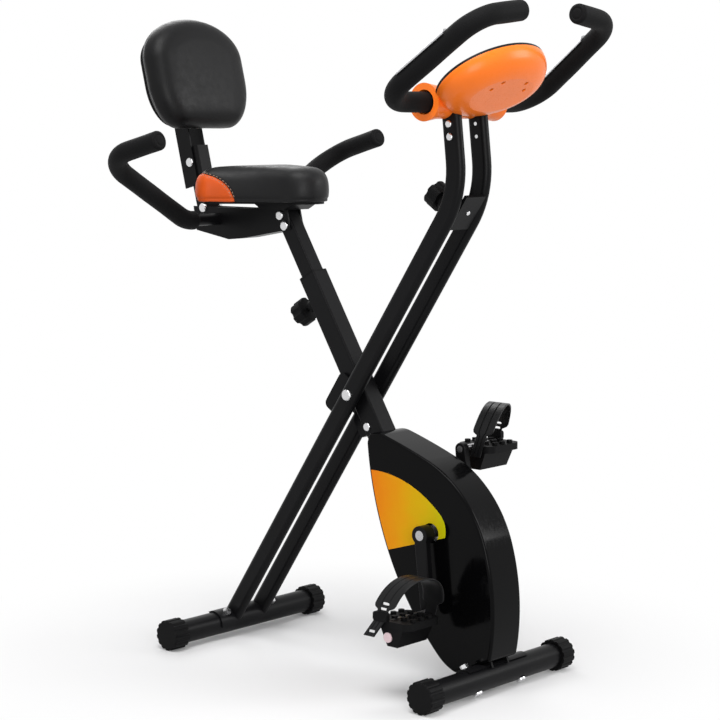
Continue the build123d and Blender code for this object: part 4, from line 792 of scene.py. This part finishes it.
@dataclass
class Cushion:
    """A stuffed piece that starts from its solid, is swollen by a cloth simulation, and gets its seams."""

    node: str
    body: Body
    finish: Finish
    voxel: float = 0.004
    shrink: float = 0.002
    pressure: float = 6.0
    stiffness: float = 45.0
    bending: float = 25.0
    cap: float = 0.0045
    even: int = 40
    frames: int = 20
    fill: float = 0.85
    first_smoothing: int = 6
    last_smoothing: int = 4
    ease: float = 0.006
    lift: float = 0.0003

    def build(self) -> None:
        """Make the cushion and put it in place of its solid."""
        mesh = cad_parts[self.node].data.copy()
        made = Meshes.place(f"{self.node}_cover", mesh, self.finish, self.body)
        Meshes.modify(made, "REMESH", voxel_size=self.voxel)
        Meshes.modify(made, "SMOOTH", iterations=self.first_smoothing)
        rest = Meshes.points_of(made)
        Meshes.move_points(made, rest - Meshes.normals_of(made) * self.shrink)
        self.swell(made)
        Meshes.modify(made, "SMOOTH", iterations=self.last_smoothing)
        Meshes.modify(made, "SUBSURF", levels=1, render_levels=1)
        made.data.materials.clear()
        made.data.materials.append(self.finish.material())
        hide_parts(self.node)
        self.sew(made)

    def swell(self, made: Piece) -> None:
        """Swell the cover with a short cloth simulation, within the cap.

        Args:
            made: The cushion.
        """
        scene = bpy.context.scene
        start = Meshes.points_of(made)
        cloth = made.modifiers.new("cover", "CLOTH")
        cloth.settings.use_pressure = True
        cloth.settings.uniform_pressure_force = self.pressure
        for kind in ("tension", "compression", "shear"):
            setattr(cloth.settings, f"{kind}_stiffness", self.stiffness)
        cloth.settings.bending_stiffness = self.bending
        cloth.settings.effector_weights.gravity = 0.0
        cloth.point_cache.frame_start = 1
        cloth.point_cache.frame_end = self.frames
        for number in range(1, self.frames + 1):
            scene.frame_set(number)
        Meshes.apply_modifiers(made)
        scene.frame_set(1)
        moved = Meshes.points_of(made) - start
        reach = np.linalg.norm(moved, axis=1, keepdims=True)
        moved *= np.minimum(1.0, self.cap / np.maximum(reach, 1e-9))
        moved = Meshes.spread(made, moved, self.even)
        Meshes.move_points(made, self.hold(start, start + moved))

    def hold(self, before: np.ndarray, after: np.ndarray) -> np.ndarray:
        """Keep the side that rests on its board in place.

        Args:
            before: Points before the simulation.
            after: Points after it.

        Returns:
            The points to use.
        """
        share = np.clip(self.above(before) / self.ease, 0.0, 1.0)[:, None]
        kept = before * (1.0 - share) + after * share
        low = np.minimum(self.above(kept) - self.lift, 0.0)
        return kept - low[:, None] * np.array(self.out)

    @property
    def out(self) -> Vector:
        """Direction out of the board."""
        raise NotImplementedError

    def above(self, points: np.ndarray) -> np.ndarray:
        """Distance of points from the board."""
        raise NotImplementedError

    def sew(self, made: Piece) -> None:
        """Add the seams."""
        raise NotImplementedError

    @staticmethod
    def groove(made: Piece, distance: np.ndarray, width: float, depth: float) -> None:
        """Press a groove into the cover along a line.

        Args:
            made: The cushion.
            distance: Distance of each point from the line.
            width: Half width of the groove.
            depth: Depth of the groove.
        """
        points = Meshes.points_of(made)
        press = depth * np.exp(-((distance / width) ** 2))
        Meshes.move_points(made, points - Meshes.normals_of(made) * press[:, None])


@dataclass
class Stitches:
    """Thread stitches along lines on a surface, each with rings given as place, size and rise."""

    radius: float = 0.0006
    length: float = 0.0042
    gap: float = 0.0022
    sides: int = 6
    rings: tuple[Point, ...] = ((-0.5, 0.35, -0.6), (-0.32, 1.0, 0.35), (0.32, 1.0, 0.35), (0.5, 0.35, -0.6))

    def build(self, name: str, runs: Sequence[Run], body: Body) -> None:
        """Make the stitches as one piece.

        Args:
            name: Name of the piece.
            runs: Lines of places with the surface's normals.
            body: Body that it rides on.
        """
        points: list[Vector] = []
        faces: Faces = []
        for run in runs:
            travelled = 0.0
            for (start, normal), (end, _) in zip(run, run[1:]):
                travelled += (end - start).length
                if travelled < self.length + self.gap:
                    continue
                travelled = 0.0
                way = (end - start).normalized()
                beside = way.cross(normal).normalized()
                faces += Meshes.closed(len(self.rings), self.sides, len(points))
                for share, size, rise in self.rings:
                    centre = start + way * (share * self.length) + normal * (rise * self.radius)
                    points += ring(centre, normal, beside, self.radius * size, self.sides)
        Meshes.make(name, points, faces, Finishes.THREAD, body)


@dataclass
class SeatCushion(Cushion):
    """Saddle-shaped seat with a coloured, double-stitched panel at each rear corner."""

    floor: float = 0.798
    seam_scale: float = 0.05
    seam_width: float = 0.0022
    seam_depth: float = 0.0016
    seam_inside: float = 0.004
    seam_outside: float = 0.002
    welt_up: float = 0.009
    welt_depth: float = 0.0012
    stitch_rows: Span = (0.955, 1.045)
    stitch_steps: int = 160
    stitch_from: float = 4.0
    stitch_turn: float = 86.0
    ray_from: float = 0.3

    @property
    def out(self) -> Vector:
        """Direction out of the board."""
        return Vector((0.0, 0.0, 1.0))

    def above(self, points: np.ndarray) -> np.ndarray:
        """Distance of points from the board."""
        return points[:, 2] - self.floor

    def sew(self, made: Piece) -> None:
        """Seam round the panels, welt line above the board, and the stitches.

        Args:
            made: The cushion.
        """
        leather = self.finish
        assert isinstance(leather, SeatLeather)
        points = Meshes.points_of(made)
        along = np.maximum(points[:, 0] - leather.panel_x, 0.0) / leather.panel_length
        up = np.maximum(points[:, 2] - leather.panel_z, 0.0) / leather.panel_height
        round_edge = (np.sqrt(along**2 + up**2) - 1.0) * self.seam_scale
        inside = np.abs(points[:, 1]) - leather.panel_inside
        outer = np.where(inside > -self.seam_inside, np.abs(round_edge), 1.0)
        flank = np.where(round_edge < self.seam_outside, np.abs(inside), 1.0)
        self.groove(made, np.minimum(outer, flank), self.seam_width, self.seam_depth)
        above = self.above(Meshes.points_of(made))
        self.groove(made, np.abs(above - self.welt_up), self.seam_width, self.welt_depth)
        tree = Meshes.tree(made)
        runs = [self.panel_run(tree, leather, side, offset) for side in Side for offset in self.stitch_rows]
        Stitches().build("seat_stitches", runs, self.body)

    def panel_run(self, tree: BVHTree, leather: SeatLeather, side: Side, offset: float) -> Run:
        """Line beside a panel's seam, on the cover.

        Args:
            tree: Search tree of the cover.
            leather: Leather that holds the panel's place.
            side: Side of the seat.
            offset: Share of the panel's size.

        Returns:
            Places and normals along the line.
        """
        run = []
        way = Vector((0.0, -side.value, 0.0))
        for number in range(self.stitch_steps + 1):
            turn = math.radians(self.stitch_from + self.stitch_turn * number / self.stitch_steps)
            x = leather.panel_x + leather.panel_length * offset * math.cos(turn)
            z = leather.panel_z + leather.panel_height * offset * math.sin(turn)
            hit, normal, _, _ = tree.ray_cast(Vector((x, side.value * self.ray_from, z)), way)
            if hit is not None:
                run.append((hit, normal))
        return run


@dataclass
class BackPad(Cushion):
    """Rounded back pad with piping round its rear edge."""

    ease: float = 0.008
    back_face: float = 0.012
    middle_up: float = 0.242
    groove_width: float = 0.0028
    groove_depth: float = 0.0022
    piping_out: float = 0.0085
    piping_radius: float = 0.0021
    piping_lift: float = 0.0008
    piping_sides: int = 10
    piping_rings: int = 240
    piping_evenings: int = 6
    ray_from: float = 0.4

    @property
    def up(self) -> Vector:
        """Direction up the back rest."""
        return Vector((-math.sin(LAYOUT.upright_lean), 0.0, math.cos(LAYOUT.upright_lean)))

    @property
    def out(self) -> Vector:
        """Direction out of the board."""
        return Vector((math.cos(LAYOUT.upright_lean), 0.0, math.sin(LAYOUT.upright_lean)))

    @property
    def origin(self) -> Vector:
        """Place on the upright's axis at the bracket."""
        return Vector((LAYOUT.post_x - LAYOUT.upright_back, 0.0, LAYOUT.bracket_top))

    def above(self, points: np.ndarray) -> np.ndarray:
        """Distance of points from the board."""
        return (points - np.array(self.origin)) @ np.array(self.out) - self.back_face

    def sew(self, made: Piece) -> None:
        """Groove with a piping cord in it, near the rear edge.

        Args:
            made: The pad.
        """
        above = self.above(Meshes.points_of(made))
        self.groove(made, np.abs(above - self.piping_out), self.groove_width, self.groove_depth)
        tree = Meshes.tree(made)
        count, sides, ahead = self.piping_rings, self.piping_sides, self.out
        centre = self.origin + self.up * self.middle_up + ahead * (self.back_face + self.piping_out)
        loop = []
        for number in range(count):
            turn = 2.0 * math.pi * number / count
            way = Vector((0.0, math.cos(turn), 0.0)) + self.up * math.sin(turn)
            hit, _, _, _ = tree.ray_cast(centre + way * self.ray_from, -way)
            loop.append(hit + way * self.piping_lift)
        smoothed = np.array(loop)
        for _ in range(self.piping_evenings):
            smoothed = (np.roll(smoothed, 1, 0) + 2.0 * smoothed + np.roll(smoothed, -1, 0)) / 4.0
        points = []
        for index, place in enumerate(smoothed):
            way = Vector(smoothed[(index + 1) % count] - smoothed[index - 1]).normalized()
            points += ring(Vector(place), ahead, way.cross(ahead).normalized(), self.piping_radius, sides)
        faces = Meshes.grid_faces(count, sides)
        last = (count - 1) * sides
        faces += [(last + i, last + (i + 1) % sides, (i + 1) % sides, i) for i in range(sides)]
        # The cord's lighter grey finish paints the highlight along the seam.
        Meshes.make("backrest_piping", points, faces, Finishes.PIPING_WITH_PAINTED_HIGHLIGHT, self.body)


@dataclass
class FoamGrips:
    """Foam sleeves along a bent tube, one on each side, closed over the tube's ends."""

    node: str
    body: Body
    origin: Vector
    corners: Path
    bend: float
    radius: float
    end: float = 0.004
    lip: float = 0.0016
    lip_length: float = 0.003
    tip: float = 0.0042
    tip_length: float = 0.0055
    slack: float = 0.00025
    slack_waves: Span = (55.0, 23.0)
    cap: tuple[Span, ...] = ((0.8, 0.0), (0.74, 0.0009), (0.68, 0.0), (0.3, -0.0002))
    step: float = 0.0025
    sides: int = 40

    def swell(self, start: float, left: float) -> float:
        """Radius of the sleeve.

        Args:
            start: Distance from the sleeve's start.
            left: Distance to its end.

        Returns:
            The radius, drawn in at both ends.
        """
        mouth = 1.0 - min(start / self.lip_length, 1.0)
        tip = 1.0 - min(left / self.tip_length, 1.0)
        first, second = self.slack_waves
        slack = self.slack * math.sin(start * first) * math.sin(start * second)
        return self.radius - self.lip * mouth**2 - self.tip * (1.0 - math.sqrt(1.0 - tip**2)) + slack

    def build(self) -> None:
        """Make both sleeves and put them in place of their solids."""
        made = [self.sleeve(side) for side in Side]
        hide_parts(self.node)

    def sleeve(self, side: Side) -> Piece:
        """Make one sleeve.

        Args:
            side: Side of the bike.

        Returns:
            The sleeve.
        """
        corners = [self.origin + Vector((x, side.value * y, z)) for x, y, z in self.corners]
        way = (corners[-1] - corners[-2]).normalized()
        corners[-1] = corners[-1] + way * self.end
        route = Route(corners, self.bend, self.step)
        rings = route.rings(self.swell, self.sides)
        tip = np.array(route.points[-1])
        rows = list(rings)
        for share, sink in self.cap:
            rows.append(tip + (rings[-1] - tip) * share - np.array(way) * sink)
        points = np.concatenate(rows + [np.array([tip])])
        faces = Meshes.grid_faces(len(rows), self.sides)
        last = (len(rows) - 1) * self.sides
        faces += [(last + i, last + (i + 1) % self.sides, len(points) - 1) for i in range(self.sides)]
        faces.append(tuple(reversed(range(self.sides))))
        return Meshes.make(f"{self.node}_{side.name.lower()}", points, faces, Finishes.FOAM, self.body)


@dataclass
class PedalStrap:
    """Grooved rubber strap over a pedal, with slots, a keeper at the pedal's edge and a reflector."""

    side: Side
    half: float = 0.042
    thick: float = 0.003
    width: float = 0.044
    end_width: float = 0.022
    shift: float = 0.002
    skew: float = 0.39
    lean: float = 0.35
    neck: float = 0.028
    shoulder: float = 0.003
    foot: float = 0.006
    heel: float = 0.015
    rise: float = 0.076
    tail: float = 0.022
    flare: float = 0.012
    arch: Span = (0.9, 0.86)
    steps: tuple[int, int, int] = (8, 48, 16)
    slots: Sequence[float] = (0.009, 0.049, 0.058)
    slot_half: Point = (0.007, 0.0022, 0.006)
    keeper_at: float = 0.036
    keeper_half: Point = (0.015, 0.008, 0.0042)
    reflector_at: Span = (0.0385, -0.023)
    reflector_half: Point = (0.0085, 0.0085, 0.002)
    sides: int = 24

    def place(self, x: float, across: float, z: float) -> Vector:
        """Place on the pedal: along the bike, outward from the pedal's middle, and up from its spindle."""
        middle = LAYOUT.spindle(self.side)
        return middle + Vector((x, self.side.value * across, z))

    def line(self) -> list[Vector]:
        """Middle line of the strap, outward and up, from its inner end to its tail.

        Returns:
            The points of the line.
        """
        heel, arch, tail = self.steps
        reach = self.half + self.thick / 2.0
        top = self.rise - self.thick / 2.0 - self.foot
        fall = self.foot + self.tail
        points = [(-reach, -self.heel + (self.heel + self.foot) * i / heel) for i in range(heel)]
        for turn in (math.pi * i / arch for i in range(arch + 1)):
            out = math.copysign(abs(math.cos(turn)) ** self.arch[0], -math.cos(turn))
            points.append((reach * out, self.foot + top * math.sin(turn) ** self.arch[1]))
        points += [(reach + self.flare * i / tail, self.foot - fall * i / tail) for i in range(1, tail + 1)]
        return [Vector(point) for point in points]

    def spot(self, back: float) -> tuple[Vector, Vector]:
        """Find a place on the middle line.

        Args:
            back: Distance along the line from the tail's end.

        Returns:
            The place and the line's direction there.
        """
        line = list(reversed(self.line()))
        for first, second in zip(line, line[1:]):
            step = (second - first).length
            if back <= step:
                return first.lerp(second, back / step), (second - first).normalized()
            back -= step
        return line[-1], (line[-1] - line[-2]).normalized()

    def middle(self, at: Vector) -> float:
        """Middle of the strap along the bike, from the spindle, at a place across and over the pedal."""
        return self.shift - self.skew * at.x + self.lean * at.y

    def width_at(self, z: float) -> float:
        """Width of the strap at a height over the spindle."""
        part = (z - self.neck + self.shoulder) / self.shoulder
        return self.end_width + (self.width - self.end_width) * min(max(part, 0.0), 1.0)

    def section(self) -> list[Span]:
        """Section of the strap as parts of its half width and half thickness, with two grooves.

        Returns:
            The corners of the section.
        """
        outer = [(-1.0, 0.3), (-0.94, 1.0), (-0.41, 1.0), (-0.37, 0.1), (-0.31, 0.1), (-0.27, 1.0)]
        outer += [(-x, out) for x, out in reversed(outer)]
        return outer + [(1.0, -0.6), (0.94, -1.0), (-0.94, -1.0), (-1.0, -0.6)]

    def build(self) -> None:
        """Make the strap with its slots, its keeper and the reflector."""
        body = Body.PEDAL_RIGHT if self.side is Side.RIGHT else Body.PEDAL_LEFT
        pedal = f"pedal_{self.side.name.lower()}"
        made = self.band(f"{pedal}_strap_band", body)
        self.cut_slots(made)
        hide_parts(f"{pedal}_strap")
        keeper = self.on_strap(self.keeper_at, self.keeper_half)
        disc = self.block(0.0, Vector(self.reflector_at), Vector((0.0, 1.0)), self.reflector_half, 1.0)
        self.fitting(f"{pedal}_keeper", keeper, Finishes.PLASTIC, body)
        self.fitting(f"{pedal}_reflector", disc, Finishes.REFLECTOR, body)

    def fitting(self, name: str, block: list[Vector], finish: Finish, body: Body) -> None:
        """Make one small fitting.

        Args:
            name: Name of the piece.
            block: Its two rings of points.
            finish: Its finish.
            body: Body that it rides on.
        """
        piece = Meshes.make(name, block, self.facing(Meshes.closed(2, self.sides)), finish, body)
        piece.data.shade_flat()

    def band(self, name: str, body: Body) -> Piece:
        """Make the strap's band.

        Args:
            name: Name of the piece.
            body: Body that it rides on.

        Returns:
            The band.
        """
        line, section = self.line(), self.section()
        rows = []
        for index, point in enumerate(line):
            way = (line[min(index + 1, len(line) - 1)] - line[max(index - 1, 0)]).normalized()
            wide = self.width_at(point.y) / 2.0
            for x, lift in section:
                place = point + Vector((-way.y, way.x)) * (lift * self.thick / 2.0)
                rows.append(self.place(self.middle(place) + x * wide, place.x, place.y))
        faces = self.facing(Meshes.closed(len(line), len(section)))
        return Meshes.make(name, rows, faces, Finishes.STRAP, body)

    def cut_slots(self, made: Piece) -> None:
        """Cut the slots in the outer leg.

        Args:
            made: The strap.
        """
        points: list[Vector] = []
        faces: Faces = []
        for back in self.slots:
            faces += self.facing(Meshes.closed(2, self.sides, len(points)))
            points += self.on_strap(back, self.slot_half)
        mesh = bpy.data.meshes.new("slots")
        mesh.from_pydata([tuple(point) for point in points], [], faces)
        tool = bpy.data.objects.new("slots", mesh)
        bpy.context.scene.collection.objects.link(tool)
        Meshes.modify(made, "BOOLEAN", object=tool, operation="DIFFERENCE", solver="EXACT")
        made.data.shade_flat()
        bpy.data.objects.remove(tool)

    def on_strap(self, back: float, half: Point) -> list[Vector]:
        """Block across the strap, at a distance from the tail's end."""
        at, way = self.spot(back)
        return self.block(self.middle(at), at, way, half)

    def block(self, middle: float, at: Vector, way: Vector, half: Point, square: float = 0.4) -> list[Vector]:
        """Rounded block across the strap's line.

        Args:
            middle: Place along the bike, from the spindle.
            at: Place, outward from the pedal's middle and up from the spindle.
            way: Direction of the strap there.
            half: Half sizes along the bike, along the strap and out of its face.
            square: Power of the outline, 1 for round.

        Returns:
            Two rings of points.
        """
        out = Vector((-way.y, way.x))
        rings = []
        for level in (-half[2], half[2]):
            for number in range(self.sides):
                turn = 2.0 * math.pi * (number + 0.5) / self.sides
                x, along = (math.copysign(abs(c) ** square, c) for c in (math.cos(turn), math.sin(turn)))
                place = at + out * level + way * (along * half[1])
                rings.append(self.place(middle + x * half[0], place.x, place.y))
        return rings

    def facing(self, faces: Faces) -> Faces:
        """Turn the faces outward on the side that is mirrored."""
        return [face[::-1] for face in faces] if self.side is Side.RIGHT else faces


@dataclass
class CadPieces:
    """Finishes of the solid pieces that stay as they are."""

    finishes: Sequence[tuple[Finish, str]] = (
        (Finishes.COAT,
         "main_tube fold_lock_plate fork_plates bottom_bracket_shell front_stabiliser front_saddle "
         "magnet_bracket crank_arms seat_post seat_bracket seat_clamp seat_handle backrest_upright "
         "backrest_bars rail_right rail_left stop_bracket rear_stabiliser rear_saddle tension_bracket "
         "handlebar handlebar_stems"),
        (Finishes.PLASTIC,
         "seat_tube_bush front_end_caps crank_pulley pedal_right pedal_left seat_board backrest_board "
         "rear_end_caps tension_knob seat_pin_knob"),
        (Finishes.STEEL, "bearings flywheel_shaft brake_magnets crank_axle pedal_spindles pulse_plates"),
        (Finishes.ZINC, "front_bolts housing_screws seat_bolts backrest_bolt rail_bolts pivot_bolt"),
        (Finishes.SHELL, "housing_right housing_left"),
        (Finishes.BELT, "drive_belt"),
        (Finishes.IRON, "flywheel"),
        (Finishes.ORANGE, "console_back battery_door"),
        (Finishes.FACE, "console_front"),
        (Finishes.LENS, "console_lens"),
        (Finishes.BUTTON, "mode_button"),
    )

    def dress(self) -> None:
        """Give every solid piece its finish."""
        for finish, names in self.finishes:
            for name in names.split():
                self.put(name, finish)
        low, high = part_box("side_panels")
        self.put("side_panels", replace(Finishes.FILM, rear=low.x, front=high.x))

    @staticmethod
    def put(name: str, finish: Finish) -> None:
        """Put a finish on one solid piece.

        Args:
            name: Name of the node.
            finish: Its finish.
        """
        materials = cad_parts[name].data.materials
        for index in range(len(materials)):
            materials[index] = finish.material()


@dataclass(frozen=True)
class Softbox:
    """A square lamp that points at the bike's middle plane."""

    name: str
    place: Point
    aim_up: float
    size: float
    power: float

    def build(self) -> None:
        """Make the lamp."""
        data = bpy.data.lights.new(self.name, "AREA")
        data.size = self.size
        data.energy = self.power
        made = bpy.data.objects.new(self.name, data)
        made.location = self.place
        way = Vector((0.0, 0.0, self.aim_up)) - Vector(self.place)
        made.rotation_euler = way.to_track_quat("-Z", "Y").to_euler()
        bpy.context.scene.collection.objects.link(made)


@dataclass
class Studio:
    """Pale floor, soft lamps and the camera at the photograph's angle."""

    eye: Point = (2.359707, -2.59032, 0.95563)
    azimuth: float = math.radians(41.956)
    down: float = math.radians(6.949)
    lens: float = 101.006
    sensor: float = 36.0
    view_end: float = 60.0
    floor_half: float = 14.0
    floor_sink: float = 0.0005
    floor_colour: Colour = (0.70, 0.70, 0.705)
    floor_cloud: Span = (0.6, 2.0)
    floor_shades: Span = (1.0, 1.01)
    floor_roughness: float = 0.8
    floor_specular: float = 0.15
    sky: float = 0.5
    shadow_from: float = 0.22
    shadow_to: float = 0.8
    lamps: Sequence[Softbox] = (
        Softbox("top_softbox", (0.5, -0.9, 3.0), 0.5, 1.8, 60.0),
        Softbox("rear_softbox", (-2.2, 1.2, 2.4), 0.6, 1.6, 26.0),
        Softbox("side_softbox", (2.5, 1.9, 1.8), 0.7, 1.4, 40.0),
        Softbox("front_softbox", (2.3, -1.9, 1.1), 0.7, 1.4, 32.0),
    )

    def build(self) -> None:
        """Make the floor, the light and the camera."""
        self.floor()
        self.world()
        for lamp in self.lamps:
            lamp.build()
        self.camera()

    def floor(self) -> None:
        """Make the floor."""
        mesh = bpy.data.meshes.new("floor")
        half = self.floor_half
        corners = [(-half, -half, 0), (half, -half, 0), (half, half, 0), (-half, half, 0)]
        mesh.from_pydata(corners, [], [(0, 1, 2, 3)])
        made = bpy.data.objects.new("floor", mesh)
        bpy.context.scene.collection.objects.link(made)
        made.location.z = -self.floor_sink
        graph = Graph("floor_paint", Roughness=self.floor_roughness, Specular_IOR_Level=self.floor_specular)
        pale = Finish.shades(self.floor_colour, *self.floor_shades)
        graph.feed(graph.shader.inputs["Base Color"], graph.ramp(graph.noise(*self.floor_cloud), pale))
        white = graph.node("Emission", {"Strength": self.seen(graph)})
        x, y, _ = graph.axes()
        reach = graph.sums("SQRT", graph.squares(x, y))
        span = (self.shadow_from, self.shadow_to)
        far = graph.between(reach, 0.0, 1.0, span, interpolation_type="SMOOTHSTEP")
        near = graph.shader.outputs["BSDF"]
        both = graph.node("MixShader", {0: far, 1: near, 2: white.outputs["Emission"]})
        graph.feed(graph.output.inputs["Surface"], both.outputs["Shader"])
        mesh.materials.append(graph.material)

    def world(self) -> None:
        """White to look at and in reflections, dimmer as light."""
        world = bpy.data.worlds.new("studio")
        bpy.context.scene.world = world
        world.use_nodes = True
        nodes = Nodes(world.node_tree)
        light = nodes.node("Background", {"Color": (1.0, 1.0, 1.0), "Strength": self.seen(nodes)})
        nodes.node("OutputWorld", {"Surface": light.outputs["Background"]})

    def seen(self, nodes: Nodes) -> Socket:
        """Strength 1 for what is seen directly, in a reflection or through glass, and less as light.

        Args:
            nodes: Tree to add the nodes to.

        Returns:
            The strength.
        """
        path = nodes.node("LightPath").outputs
        direct = nodes.sums("MAXIMUM", path["Is Camera Ray"], path["Is Glossy Ray"])
        direct = nodes.sums("MAXIMUM", direct, path["Is Transmission Ray"])
        return nodes.between(direct, self.sky, 1.0, (0.0, 1.0))

    def camera(self) -> None:
        """Make the camera."""
        data = bpy.data.cameras.new("camera")
        data.lens = self.lens
        data.sensor_width = self.sensor
        data.clip_end = self.view_end
        made = bpy.data.objects.new("camera", data)
        made.location = self.eye
        made.rotation_euler = (math.pi / 2.0 - self.down, 0.0, self.azimuth)
        bpy.context.scene.collection.objects.link(made)
        bpy.context.scene.camera = made


def main() -> None:
    """Build every piece in order and report it."""
    logging.basicConfig(level=logging.INFO, format="%(name)s %(message)s")
    bpy.context.scene.view_settings.view_transform = "Standard"
    Studio().build()
    CadPieces().dress()
    SeatCushion("seat_cushion", Body.SEAT, Finishes.SEAT).build()
    BackPad("backrest_pad", Body.BACK, Finishes.LEATHER).build()
    FoamGrips("handlebar_grips", Body.RAILS, LAYOUT.bar_axis, BAR_GRIP, bend=0.052, radius=0.0167).build()
    FoamGrips("seat_grips", Body.SEAT, LAYOUT.handle_axis, SEAT_GRIP, bend=0.062, radius=0.017).build()
    for side in Side:
        PedalStrap(side).build()


if __name__ == "__main__":
    main()
